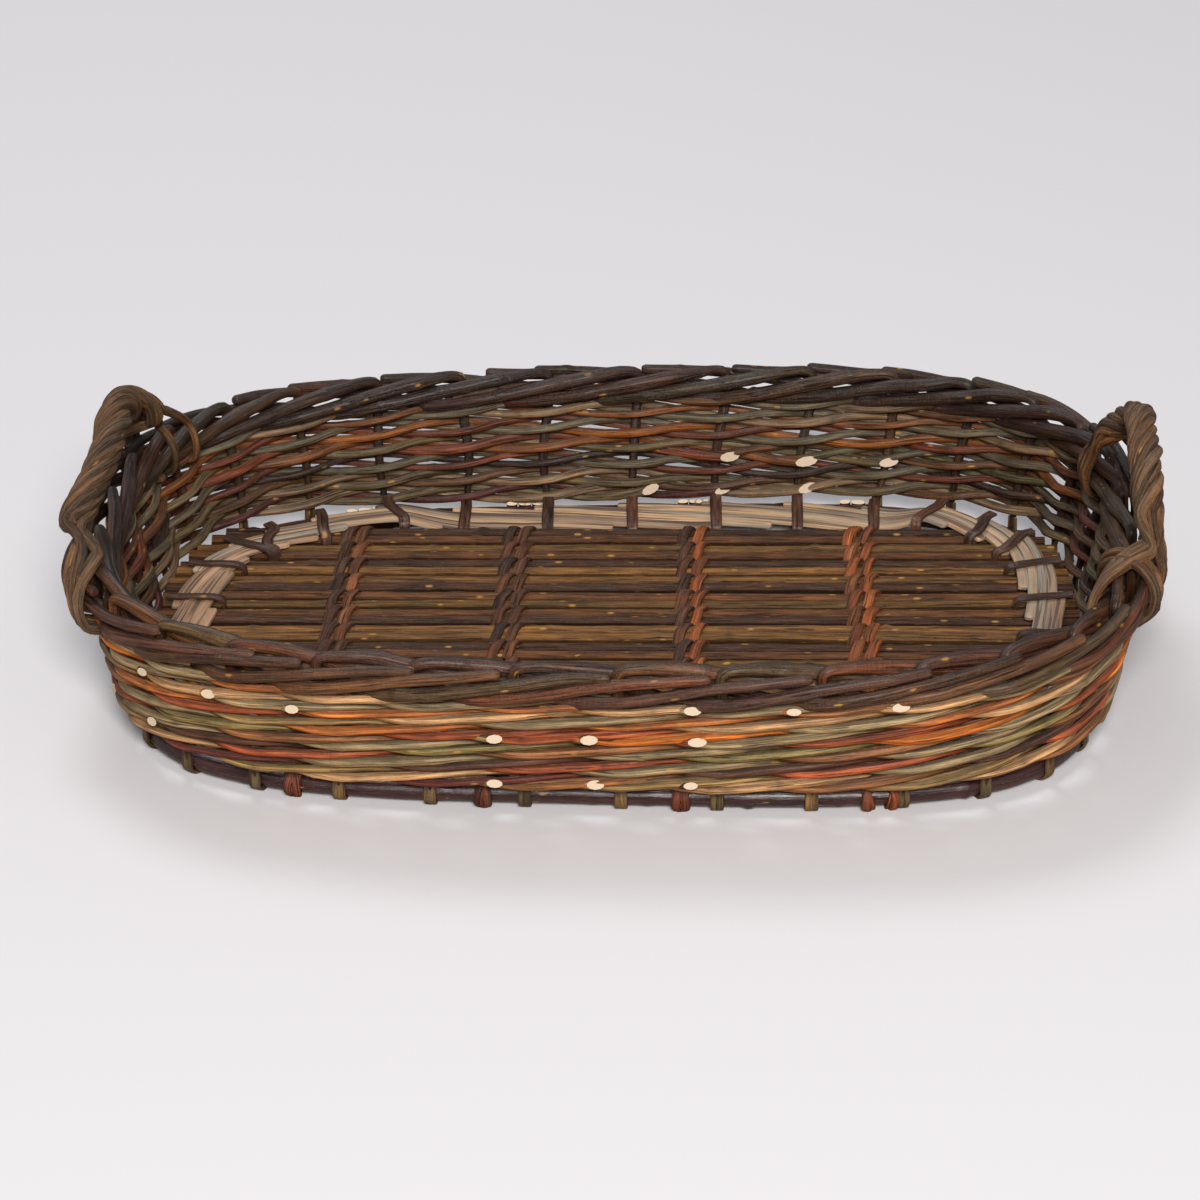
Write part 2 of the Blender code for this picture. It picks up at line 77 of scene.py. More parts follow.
# Hoop and base rods, as they lie in the frame.
HOOP_HEIGHT = 0.0069
HOOP_RADIUS = 0.0052
ROD_PAIRS = 12
ROD_PAIR_PITCH = 0.0216
ROD_DIAMETER = 0.0092
ROD_HEIGHT = 0.0159
ROD_END_REACH = 0.0015
ROD_TOP = ROD_HEIGHT + ROD_DIAMETER / 2
ROD_UNDERSIDE = ROD_HEIGHT - ROD_DIAMETER / 2
FIELD_HALF_WIDTH = (ROD_PAIRS - 1) * ROD_PAIR_PITCH / 2 + ROD_DIAMETER

# Shaved tails and the straps over them.
TAIL_SETBACK = 0.0045
TAIL_LANE = 0.0066
TAIL_LANES = 4
TAIL_REACH = 3.7
TAIL_INNER = TAIL_SETBACK + TAIL_LANES * TAIL_LANE
TAIL_THICKNESS = 0.003
TAIL_OUTER_TOP = 0.0168
TAIL_INNER_TOP = 0.0124
CORNER_STAKES = np.array((5.3, 12.2, 21.9, 28.7))
CORNER_SPREADS = np.array((1.7, 1.7, 2.0, 1.7))
CORNER_CUTS = np.array((0.012, 0.011, 0.02, 0.012))
TAIL_SEAT = 0.002
STRAP_WIDTH = 0.0068
STRAP_THICKNESS = 0.0018
STRAP_LEAN = 16.0
STRAP_RUN = HOOP_RADIUS + STRAP_THICKNESS / 2 + 0.0001
LEANING_STAKES = (9, 25)

# Stakes and border.
UPRIGHT_DIAMETER = 0.006
STAKE_FOOT_HEIGHT = 0.0142
BORDER_HEIGHT = 0.082
BORDER_HALF_WIDTH = 0.0076
BORDER_HALF_HEIGHT = 0.0076
BORDER_ROD_DIAMETER = 0.0084
BORDER_TIP_DIAMETER = 0.0058
BORDER_RUN = 4.9
BORDER_LOOSENESS = 0.0004
BORDER_STRETCH = 0.03
STAKE_LEAN = 0.06
STAKE_TAPER_PLACES = (0, 0.12, 0.26, 0.34, 1)
STAKE_TAPER = (0.0033, UPRIGHT_DIAMETER, UPRIGHT_DIAMETER, BORDER_ROD_DIAMETER, BORDER_TIP_DIAMETER)

# Path of a bent stake through the border: stakes onward, then out and up as shares of the half sizes.
BORDER_WEAVE = (
    (0.0, 0.0, -1.4), (-0.01, 0.02, 0.2), (0.0, 0.0, 0.74), (0.08, -0.1, 0.96),
    (0.26, -0.34, 0.98), (0.55, -0.74, 0.78), (1.0, -1.02, 0.3), (2.0, -1.06, -0.78),
    (2.5, -0.1, -1.36), (3.0, 1.0, -0.88), (4.0, 1.1, 0.22), (4.55, 0.96, 0.62),
    (4.93, 0.82, 0.8),
)

# Three-rod waling.
WALE_STRANDS = 3
WALE_START_STAKE = 16
WALE_ROUNDS = 6
WALE_STEP_STAKES = 3
WALE_STEP_DELAY = 2
WALE_DRIFT = 0.2
WALE_TILT = 0.0006
WALE_CORNER_LIFT = 0.0034
WALE_CORNER_SPREAD = 1.8
WALE_START_HEIGHT = 0.0164
WALE_TOP_HEIGHT = 0.0708
WALE_PITCH = (WALE_TOP_HEIGHT - WALE_START_HEIGHT) / (2 * WALE_ROUNDS - 1)
WALE_DIAMETER = 0.0049
WALE_SWING = (UPRIGHT_DIAMETER + WALE_DIAMETER) / 2

# One stroke of a wale rod, point by half stake: out as a share of the swing, and layers up.
WALE_STROKE = ((1.0, 0.0), (1.06, 0.5), (1.0, 1.0), (0.0, 1.06), (-1.0, 0.5), (0.0, -0.06))

# Sets of three rods: the place, counted from the start of the waling, where each begins, and its colours.
WALE_RODS = (
    (-1, ("tan", "maroon", "olive")),
    (16, ("olive", "tan", "brown")),
    (44, ("red_orange", "grey_olive", "purple_brown")),
    (76, ("green_olive", "brown", "grey_olive")),
    (100, ("orange", "red_orange", "olive")),
    (118, ("bright_orange", "grey_olive", "red_orange")),
    (148, ("grey_olive", "orange", "tan")),
    (188, ("grey_olive", "brown", "tan")),
)
WALE_FINISH = 205
WALE_LOWER_SETS = 4

PALETTE = {
    "tan": (0.345, 0.23, 0.126),
    "olive": (0.23, 0.17, 0.075),
    "grey_olive": (0.225, 0.19, 0.115),
    "green_olive": (0.19, 0.168, 0.068),
    "orange": (0.32, 0.118, 0.034),
    "bright_orange": (0.42, 0.138, 0.02),
    "red_orange": (0.25, 0.066, 0.026),
    "maroon": (0.125, 0.032, 0.026),
    "brown": (0.185, 0.088, 0.036),
    "dark_brown": (0.075, 0.038, 0.019),
    "purple_brown": (0.072, 0.033, 0.022),
    "cream": (0.52, 0.4, 0.3),
    "pink_cream": (0.4, 0.285, 0.215),
    "base_brown": (0.08, 0.034, 0.01),
    "base_olive": (0.086, 0.049, 0.012),
    "base_tan": (0.12, 0.063, 0.017),
    "base_dark": (0.036, 0.016, 0.007),
    "red_brown": (0.096, 0.034, 0.014),
    "band_dark": (0.06, 0.024, 0.012),
    "band_brown": (0.105, 0.039, 0.016),
    "band_orange": (0.21, 0.064, 0.019),
    "border_brown": (0.106, 0.05, 0.02),
    "border_dark": (0.064, 0.03, 0.014),
    "border_olive": (0.085, 0.055, 0.025),
    "rope_brown": (0.155, 0.082, 0.038),
    "rope_dark": (0.1, 0.054, 0.027),
}
STAKE_COLOURS = ("border_brown", "purple_brown", "border_dark", "red_brown", "border_dark", "border_olive",
                 "purple_brown")
BASE_COLOURS = ("base_olive", "base_dark", "base_tan", "base_brown", "base_brown", "base_tan", "base_dark")
BAND_COLOURS = (("band_dark", "band_brown"), ("band_dark", "band_brown"),
                ("band_dark", "band_orange"), ("band_orange", "band_orange"))
BAND_SHIFTS = (-0.0025, 0.0, 0.0, 0.0045)
KNOT_PLACES = (-0.162, -0.063, 0.039, 0.141)
KNOT_SPREADS = (0.002, 0.001, 0.002, 0.012)
KNOT_WIDTH = 0.005
BAND_WIDTH = 0.0062
BAND_THICKNESS = 0.0024
BAND_HALF_PITCH = 0.0042
BAND_SLANT = 0.0034
BAND_LIFT = 0.0013
BAND_CROWN = 0.0007
BAND_RUN = 0.0064
HOOP_COLOUR = (0.05, 0.014, 0.013)

# Bark finishes: roughness, coat, specular, painted grey sheen on upward faces, warm undersides (painted warm
# bounce light, partly the bark's own tint), specks and relief in metres.
BARKS = {
    "willow_bark": (0.48, 0.06, 0.35, 0.3, 0.45, 0.1, 0.001),
    "border_bark": (0.4, 0.14, 0.36, 0.1, 0.3, 0.06, 0.0014),
    "base_rod_bark": (0.55, 0.0, 0.22, 0.1, 0.3, 0.2, 0.001),
    "band_bark": (0.55, 0.0, 0.3, 0.06, 0.3, 0.0, 0.0016),
    "rope_bark": (0.52, 0.04, 0.35, 0.16, 0.3, 0.04, 0.0028),
    "hoop_bark": (0.26, 0.45, 0.5, 0.06, 0.2, 0.05, 0.0004),
}
PALE_TINT = (1.55, 1.42, 1.2)
DULL_TINT = (0.62, 0.56, 0.52)
# Warm tint on downward faces: painted warm bounce light, partly the bark's own warmer underside.
WARM_UNDERSIDE_AND_BOUNCE_TINT = (1.75, 1.2, 0.62)
# Grey of the painted sheen on upward faces, standing in for reflected sky.
PAINTED_SHEEN_GREY = (0.27, 0.225, 0.19)
CRACK_COLOUR = (0.03, 0.017, 0.012)
SPECK_COLOUR = (0.48, 0.25, 0.05)
STAIN_COLOUR = (0.34, 0.23, 0.16)
GROOVE_COLOUR = (0.1, 0.058, 0.038)
CUT_PALE = (0.72, 0.57, 0.42)
CUT_DARK = (0.52, 0.34, 0.2)

# Rope handles.
ROPE_STRAND_DIAMETER = 0.0057
ROPE_RADIUS = 0.0061
ROPE_TWIST_PITCH = 0.066
ROPE_SETBACK = 0.016
ROPE_COLOURS = ("rope_brown", "rope_brown", "rope_dark")
HANDLE_RISE = 0.053
ROPE_CORE_DIAMETER = 0.0072
ROPE_PARTS_AT = {"left": 0.11, "right": 0.167}

# Stake numbers of each handle's front and back foot, and how far out from the border its top lies.
HANDLES = {"left": (26.75, 23.45, -0.005), "right": (7.1, 9.9, 0.006)}

# A strand's winding round the border: stakes onward, out as a share of the setback, and height in metres.
WIND = (
    (-0.06, 0.8, 0.011), (0.0, 0.96, 0.001), (0.03, 0.6, -0.012), (0.06, -0.4, -0.0135),
    (0.1, -0.96, -0.005), (0.17, -0.92, 0.0065), (0.34, -0.32, 0.0135), (0.52, 0.4, 0.013),
    (0.66, 0.92, 0.005), (0.72, 0.9, -0.005), (0.74, 0.4, -0.013),
)

# A strand that sweeps slantwise over the border and is tucked down on the other side.
SWEEP = (
    (-0.1, 0.62, 0.015), (0.1, 0.3, 0.015), (0.32, -0.2, 0.0138), (0.58, -0.68, 0.01),
    (0.82, -0.92, 0.002), (0.96, -0.86, -0.008), (1.0, -0.3, -0.014),
)

# A strand that comes down on top of the border and sweeps to its outside.
CROSS = (
    (0.0, 0.46, 0.019), (0.2, 0.4, 0.016), (0.44, 0.56, 0.0132), (0.68, 0.88, 0.007),
    (0.82, 0.98, -0.0025), (0.9, 0.8, -0.012), (0.94, 0.2, -0.015),
)

# A strand that comes down on the inner side and then sweeps to the outside.
FAN = (
    (0.0, 0.4, 0.019), (0.2, 0.08, 0.017), (0.42, -0.08, 0.015), (0.64, 0.2, 0.0136),
    (0.86, 0.74, 0.0075), (0.98, 0.96, -0.0015), (1.06, 0.8, -0.012), (1.1, 0.2, -0.015),
)

# A strand that goes straight down beside the border and under it.
TUCK = (
    (-0.06, 0.8, 0.012), (0.0, 0.98, 0.001), (0.04, 0.8, -0.01), (0.08, 0.1, -0.015),
    (0.12, -0.5, -0.014),
)

# Front and back foot of each rope strand, as stakes beyond the handle's foot, side of the border (1 outside)
# and winding there, and the share of the rope at which the strand leaves it.
ROPE_FEET = {
    "left": (
        ((-0.24, 1, CROSS), (0.0, -1, TUCK), 0.84),
        ((-0.1, 1, CROSS), (-0.24, 1, TUCK), 0.84),
        ((0.04, 1, CROSS), (0.14, 1, TUCK), 0.84),
        ((-0.2, 1, FAN), (0.0, 1, TUCK), 0.84),
        ((-0.04, 1, FAN), (-0.2, 1, TUCK), 0.84),
        ((0.18, 1, TUCK), (0.2, 1, TUCK), 0.84),
        ((0.38, 1, TUCK), (0.55, -1, TUCK), 0.72),
    ),
    "right": (
        ((0.1, 1, SWEEP), (0.0, -1, TUCK), 0.84),
        ((-0.08, 1, SWEEP), (-0.14, -1, TUCK), 0.84),
        ((-0.1, 1, WIND), (0.06, -1, TUCK), 0.84),
        ((-0.34, 1, WIND), (-0.05, 1, TUCK), 0.84),
        ((-0.58, 1, TUCK), (-0.18, 1, TUCK), 0.84),
        ((-0.9, 1, TUCK), (0.12, 1, TUCK), 0.84),
        ((-0.26, 1, SWEEP), (0.14, -1, TUCK), 0.84),
    ),
}

# Camera, found from the photograph, and the pale studio.
LENS = 121.5
SENSOR = 36.0
CAMERA_PLACE = Vector((0.0727, -2.0243, 0.9941))
CAMERA_PITCH = math.radians(25.36)
CAMERA_YAW = math.radians(2.3)
CAMERA_ROLL = math.radians(-0.89)
FLOOR_COLOUR = (0.755, 0.738, 0.76)
BOUNCE_COLOUR = (0.33, 0.305, 0.29)
SKY_COLOUR = (0.95, 0.97, 1.0)
SKY_STRENGTH = 0.26
FLOOR_CORNERS = ((-6.0, -6.0, 0), (6.0, -6.0, 0), (6.0, 6.0, 0), (-6.0, 6.0, 0))
FLOOR_GAP = 0.0002

# Round lamps: place, target, diameter, watts and colour.
LAMPS = {
    "window": ((0.5, -4.3, 3.0), (0, 0.2, 0.03), 1.8, 300, (1.0, 0.97, 0.93)),
    "ceiling": ((-0.8, 2.2, 3.2), (0, 0.2, 0), 1.6, 46, (0.95, 0.97, 1.0)),
}


def squared(value, power):
    """A cosine or sine raised to a power, for a squarer or rounder outline."""
    return np.sign(value) * np.abs(value) ** power


def unit(vectors):
    return vectors / np.maximum(np.linalg.norm(vectors, axis=-1, keepdims=True), 1e-12)


def read(value, given, wanted, outward):
    """The wanted line where the given one has this value, on the outline's outward side."""
    kept = outward > 0.3 * outward.max()
    order = np.argsort(given[kept])
    return float(np.interp(value, given[kept][order], wanted[kept][order]))


class Outline:
    """Closed plan outline, read by stake number."""

    def __init__(self, half_length, half_width, squareness, widening):
        angle = np.linspace(-math.pi / 2, 3 * math.pi / 2, 14401)
        self.x = half_length * squared(np.cos(angle), 2 / squareness)
        self.y = half_width * squared(np.sin(angle), 2 / squareness)
        self.y *= 1 + widening * self.x / half_length
        heading = np.unwrap(np.arctan2(np.diff(self.y), np.diff(self.x)))
        turn = np.abs(np.diff(heading, append=heading[0] + 2 * math.pi))
        steps = np.hypot(np.diff(self.x), np.diff(self.y)) + CORNER_CROWDING * turn
        self.measure = np.r_[0, np.cumsum(steps)]
        near_half = slice(0, len(angle) // 4)
        self.first = np.interp(FIRST_STAKE_X, self.x[near_half], self.measure[near_half])

    def spot(self, along):
        along = along % self.measure[-1]
        return np.stack([np.interp(along, self.measure, line) for line in (self.x, self.y)], -1)

    def at(self, stake):
        """Points of the outline and their outward normals."""
        along = self.first + stake * self.measure[-1] / STAKES
        tangent = unit(self.spot(along + 0.0015) - self.spot(along - 0.0015))
        return self.spot(along), np.stack([tangent[..., 1], -tangent[..., 0]], -1)

    def reach(self, y, side):
        """How far out along X the outline lies at this Y."""
        return read(y, self.y, self.x, self.x * side)

    def stake_at(self, x, side):
        """Stake number at this X on the near or far side."""
        return (read(x, self.x, self.measure, self.y * side) - self.first) * STAKES / self.measure[-1]


hoop_line = Outline(*HOOP_OUTLINE)
rim_line = Outline(*RIM_OUTLINE)


def corner_steps(stake):
    """Stakes from each of the four corners."""
    return (np.asarray(stake)[..., None] - CORNER_STAKES + STAKES / 2) % STAKES - STAKES / 2


def corner_cut(stake):
    """How much further in the stiff tails lie where they cut a corner, in metres."""
    return (CORNER_CUTS * np.exp(-((corner_steps(stake) / CORNER_SPREADS) ** 2))).sum(-1)


def near_corner(stake):
    """Nearness to a corner, from 0 on the straight walls to about 1."""
    return np.exp(-((corner_steps(stake) / WALE_CORNER_SPREAD) ** 2)).sum(-1)


def raised(plan, height):
    """Points in space from points in plan."""
    height = np.broadcast_to(np.asarray(height)[..., None], plan.shape[:-1] + (1,))
    return np.concatenate([plan, height], -1)


def beside(outline, stake, out, height):
    """Points this far out from an outline."""
    plan, normal = outline.at(stake)
    return raised(plan + normal * np.asarray(out)[..., None], height)


def by_hoop(stake, out, height):
    """Points beside the hoop's centreline."""
    return beside(hoop_line, stake, out, height)


def by_base(stake, inward, height):
    """Points of the tail bundle, from the hoop's centreline inwards."""
    return by_hoop(stake, -inward - corner_cut(stake), height)


def by_wall(stake, out, height):
    """Points beside the leaning line of the stakes."""
    foot, foot_normal = hoop_line.at(stake)
    head, head_normal = rim_line.at(stake)
    height = np.asarray(height)
    share = ((height - STAKE_FOOT_HEIGHT) / (BORDER_HEIGHT - STAKE_FOOT_HEIGHT))[..., None]
    middle = (foot + foot_normal * STRAP_RUN) * (1 - share) + head * share
    blend = np.clip(share, 0, 1)
    normal = unit(foot_normal * (1 - blend) + head_normal * blend)
    return raised(middle + normal * np.asarray(out)[..., None], height)


def by_rim(stake, out, height):
    """Points beside the border's centreline, with their height counted from it."""
    return beside(rim_line, stake, out, BORDER_HEIGHT + height)


def lengths(path):
    """Length run along a path at each of its points."""
    return np.r_[0, np.cumsum(np.linalg.norm(np.diff(path, axis=0), axis=1))]


def smooth(points, spacing):
    """Even points on a smooth curve through the given points."""
    points = np.asarray(points, float)
    steps = np.linalg.norm(np.diff(points, axis=0), axis=1)
    knots = np.r_[0, np.cumsum(np.sqrt(np.maximum(steps, 1e-9)))]
    slopes = np.gradient(points, knots, axis=0)
    fine = np.linspace(0, knots[-1], 16 * len(points))
    span = np.clip(np.searchsorted(knots, fine, side="right") - 1, 0, len(knots) - 2)
    width = np.diff(knots)[span][:, None]
    t = ((fine - knots[span]) / width[:, 0])[:, None]
    curve = (
        (2 * t**3 - 3 * t**2 + 1) * points[span]
        + (t**3 - 2 * t**2 + t) * width * slopes[span]
        + (3 * t**2 - 2 * t**3) * points[span + 1]
        + (t**3 - t**2) * width * slopes[span + 1]
    )
    return evenly(curve, spacing)


def evenly(curve, spacing):
    """The same curve with its points a set distance apart."""
    length = lengths(curve)
    count = max(int(round(length[-1] / spacing)), 2)
    places = np.linspace(0, length[-1], count + 1)
    return np.stack([np.interp(places, length, curve[:, i]) for i in range(3)], -1)


def eased(share):
    """A share from 0 to 1 that starts and ends gently."""
    return share * share * (3 - 2 * share)


def along_hoop(stake, count, rise=0.0):
    """The hoop's direction at this stake, once for each point of a strap across it."""
    normal = hoop_line.at(stake)[1]
    return np.tile((-normal[1], normal[0], rise), (count, 1))


def carried_sides(tangents, side):
    """Cross directions carried along the tangents without twist."""
    sides = np.empty_like(tangents)
    for i, tangent in enumerate(tangents):
        side = side - tangent * (side @ tangent)
        side = side / np.linalg.norm(side)
        sides[i] = side
    return sides


# Material slots of a piece, and shares of the bark's colour on the faces of a rod: the rod's own two sides,
# or painted light and shade.
BARK, CUT = 0, 1
# The rod's own two-tone bark, its sunny side turned at random.
SUN_SIDE = np.array((1.22, 1.0, 0.74))
SHADE_SIDE = np.array((0.74, 0.8, 0.82))
# Painted light on faces turned to the sun, painted shade on faces turned away and in the creases where rods
# touch.
PAINTED_LIT_FACE = np.array((1.36, 1.13, 0.93))
PAINTED_SHADED_FACE = np.array((0.54, 0.5, 0.49))
CREASE_SHADE = 0.28

# Leaf scars, cut ends and rounded ends, as shares of the last ring and of the end's radius.
FIRST_SCAR = (0.008, 0.03)
SCAR_SPACING = (0.028, 0.06)
SCAR_LENGTH = 0.0022
LAST_SCAR = 0.006
CUT_RINGS = 5
STEEPEST_CUT = 0.5
ROUND_RINGS = ((0.86, 0.42), (0.55, 0.78))
ROUND_ENDS = ("round", "round")


def placed(name, data):
    """A new object of the scene."""
    obj = bpy.data.objects.new(name, data)
    bpy.context.scene.collection.objects.link(obj)
    return obj


class Route:
    """A rod's centreline, with its cross directions and the outline of its section."""

    def __init__(self, path, across, sides, square):
        self.path = path
        self.tangents = unit(np.gradient(self.path, axis=0))
        if across is None:
            self.side = carried_sides(self.tangents, np.cross(self.tangents[0], (0.31, 0.17, 0.94)))
        else:
            self.side = unit(across - self.tangents * (across * self.tangents).sum(-1, keepdims=True))
        self.up = np.cross(self.tangents, self.side)
        self.along = lengths(self.path)
        self.angle = 2 * math.pi * np.arange(sides) / sides
        self.cosine = squared(np.cos(self.angle), square)
        self.sine = squared(np.sin(self.angle), square)

    def facing(self, sun):
        """How far each point of the surface faces this direction, from -1 to 1."""
        across, up = ((self.side * sun).sum(-1)[:, None], (self.up * sun).sum(-1)[:, None])
        return self.cosine * across + self.sine * up


class Skin:
    """Rings of points round a route, each with its bark colours and grain places."""

    def __init__(self, route, offsets, bark, grain):
        self.route = route
        self.offsets = offsets
        self.rings = list(route.path[:, None] + offsets)
        self.bark = list(bark)
        self.grain = list(grain)

    def outward(self, last):
        return self.route.tangents[last] * (1 if last else -1)

    def round_off(self, last, radius):
        """Add two smaller rings past the first (0) or last (-1) one."""
        for grow, reach in ROUND_RINGS:
            ring = self.route.path[last] + self.offsets[last] * grow + self.outward(last) * reach * radius
            place = len(self.rings) if last else 0
            self.rings.insert(place, ring)
            self.bark.insert(place, self.bark[last])
            self.grain.insert(place, self.grain[last])

    def cut_off(self, last, direction):
        """Slide the rings at one end along the rod, on to a plane that faces this way."""
        facing = unit(direction)
        way = self.outward(last)
        slope = max(float(way @ facing), STEEPEST_CUT)
        path = self.route.path
        for step in range(CUT_RINGS):
            index = last - step if last else step
            past = (self.offsets[index] @ facing) / slope - np.linalg.norm(path[index] - path[last])
            slide = past if step == 0 else np.maximum(past, 0) * (1 - 0.02 * step)
            self.rings[index] = self.rings[index] - way * slide[:, None]


class Piece:
    """A mesh made of tubes, each with its own bark colour and grain direction."""

    def __init__(self, name):
        self.name = name
        self.rng = np.random.default_rng(zlib.crc32(name.encode()))
        self.points = []
        self.faces = []
        self.slots = []
        self.bark = []
        self.grain = []

    def add(self, points, bark, grain):
        """Keep these points and say the number of the first."""
        first = sum(map(len, self.points))
        self.points.append(points)
        self.bark.append(np.broadcast_to(bark, points.shape))
        self.grain.append(grain)
        return first

    def tube(self, path, width, thick, colour, across=None, sides=12, square=1.0, ends=("cut", "cut"),
             scars=True, tone=0.1, rough=0.03, sun=None):
        """One rod or strap, its width along across. Ends are cut, round or a cut's direction."""
        route = Route(path, across, sides, square)
        width, thick = (np.broadcast_to(size, len(route.path)) for size in (width, thick))
        swell = self.swelling(route, rough)
        bark = self.shading(route, colour, tone, sun)
        if scars:
            swell, bark = self.scarred(route, swell, bark)
        offsets = (
            route.side[:, None] * (route.cosine * width[:, None] / 2)[..., None]
            + route.up[:, None] * (route.sine * thick[:, None] / 2)[..., None]
        ) * swell[..., None]
        around = (route.angle - math.pi) * ((width + thick) / 4).mean()
        grain = np.stack(np.broadcast_arrays(around, route.along[:, None], 0.0), -1)
        seed = self.rng.uniform(0, 40, 3)
        skin = Skin(route, offsets, bark, grain + seed)
        for last, end in zip((0, -1), ends):
            if end == "round":
                skin.round_off(last, min((width[last] + thick[last]) / 4, thick[last] / 2))
            elif end != "cut":
                skin.cut_off(last, end)
        self.wrap(skin, seed, ends)

    def swelling(self, route, rough):
        """Share by which an uneven rod is thicker or thinner at each point."""
        swell = 1 + rough * wander(self.rng, route.along, 0.02)[:, None] * np.ones(len(route.angle))
        turn = 6 * wander(self.rng, route.along, 0.05)[:, None]
        return swell + 0.6 * rough * np.sin(2 * route.angle + turn)

    def shading(self, route, colour, tone, sun):
        """Bark colours: patches, and either the bark's own two unlike sides or, with a sun, painted light on
        faces towards it and painted shade on faces away and in the creases between them.
        """
        rng, along = self.rng, route.along
        patches = 1 + tone * wander(rng, along, 0.03) + 0.7 * tone * wander(rng, along, 0.11)
        bark = (np.asarray(colour) * patches[:, None])[:, None]
        turned = 0.3 * wander(rng, along, 0.06)[:, None]
        if sun is None:
            facing = np.cos(route.angle - rng.uniform(0, 2 * math.pi))
            sunny = np.clip(0.5 + 0.5 * facing + turned, 0, 1)[..., None]
            return bark * (SUN_SIDE * sunny + SHADE_SIDE * (1 - sunny))
        # Painted light and shade: faces towards the sun get the lit share, faces away the shaded share, and
        # creases are painted darker.
        facing = route.facing(sun)
        outer = np.clip(0.5 + 1.5 * facing + turned, 0, 1)[..., None]
        crease = CREASE_SHADE + (1 - CREASE_SHADE) * np.clip(np.abs(facing), 0, 1)[..., None]
        return bark * (PAINTED_LIT_FACE * outer + PAINTED_SHADED_FACE * (1 - outer)) * crease

    def scarred(self, route, swell, bark):
        """The same with leaf scars: small dark swellings, each mostly on one side."""
        where = self.rng.uniform(*FIRST_SCAR)
        while where < route.along[-1] - LAST_SCAR:
            near = np.exp(-(((route.along - where) / SCAR_LENGTH) ** 2))[:, None]
            facing = np.clip(np.cos(route.angle - self.rng.uniform(0, 2 * math.pi)), 0, 1) ** 2
            swell = swell + near * (0.05 + 0.22 * facing)
            bark = bark * (1 - 0.3 * near[..., None] * (0.4 + facing[:, None]))
            where += self.rng.uniform(*SCAR_SPACING)
        return swell, bark

    def wrap(self, skin, seed, ends):
        """Faces round the skin, and one on each end, of cut wood unless the end is round."""
        total, sides = len(skin.rings), len(skin.rings[0])
        first = self.add(np.concatenate(skin.rings), np.concatenate(skin.bark), np.concatenate(skin.grain))
        for ring in range(first, first + (total - 1) * sides, sides):
            for i in range(sides):
                j = (i + 1) % sides
                self.faces.append((ring + i, ring + j, ring + sides + j, ring + sides + i))
                self.slots.append(BARK)
        for ring, end in zip((0, total - 1), ends):
            corner = first + ring * sides
            if end != "round":
                rim = skin.rings[ring]
                corner = self.add(0.999 * rim + 0.001 * rim.mean(axis=0), PALETTE["cream"], rim + seed)
            edge = list(range(corner, corner + sides))
            self.faces.append(edge if ring else edge[::-1])
            self.slots.append(BARK if end == "round" else CUT)

    def build(self, bark, cut, slot, replaced, smooth_angle=50):
        """The mesh object, riding on the tray and standing for the named nodes."""
        mesh = bpy.data.meshes.new(self.name)
        points = np.concatenate(self.points)
        mesh.from_pydata(points.tolist(), [], self.faces)
        mesh.materials.append(bark)
        mesh.materials.append(cut)
        mesh.polygons.foreach_set("material_index", self.slots)
        colour = mesh.attributes.new("bark", "FLOAT_COLOR", "POINT")
        colours = np.concatenate([np.clip(np.concatenate(self.bark), 0, 1), np.ones((len(points), 1))], 1)
        colour.data.foreach_set("color", colours.astype(np.float32).ravel())
        grain = mesh.attributes.new("grain", "FLOAT_VECTOR", "POINT")
        grain.data.foreach_set("vector", np.concatenate(self.grain).astype(np.float32).ravel())
        mesh.shade_smooth()
        mesh.set_sharp_from_angle(angle=math.radians(smooth_angle))
        mesh.validate()
        obj = placed(self.name, mesh)
        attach(obj, "root")
        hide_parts(*replaced)


def wander(rng, along, wave):
    """Smooth random line, mostly between -1 and 1, that changes over about one wave."""
    count = max(int(along[-1] / wave) + 4, 4)
    knots = rng.normal(0, 0.6, count)
    places = along / wave
    base = np.floor(places).astype(int)
    share = eased(places - base)
    return knots[np.clip(base, 0, count - 1)] * (1 - share) + knots[np.clip(base + 1, 0, count - 1)] * share


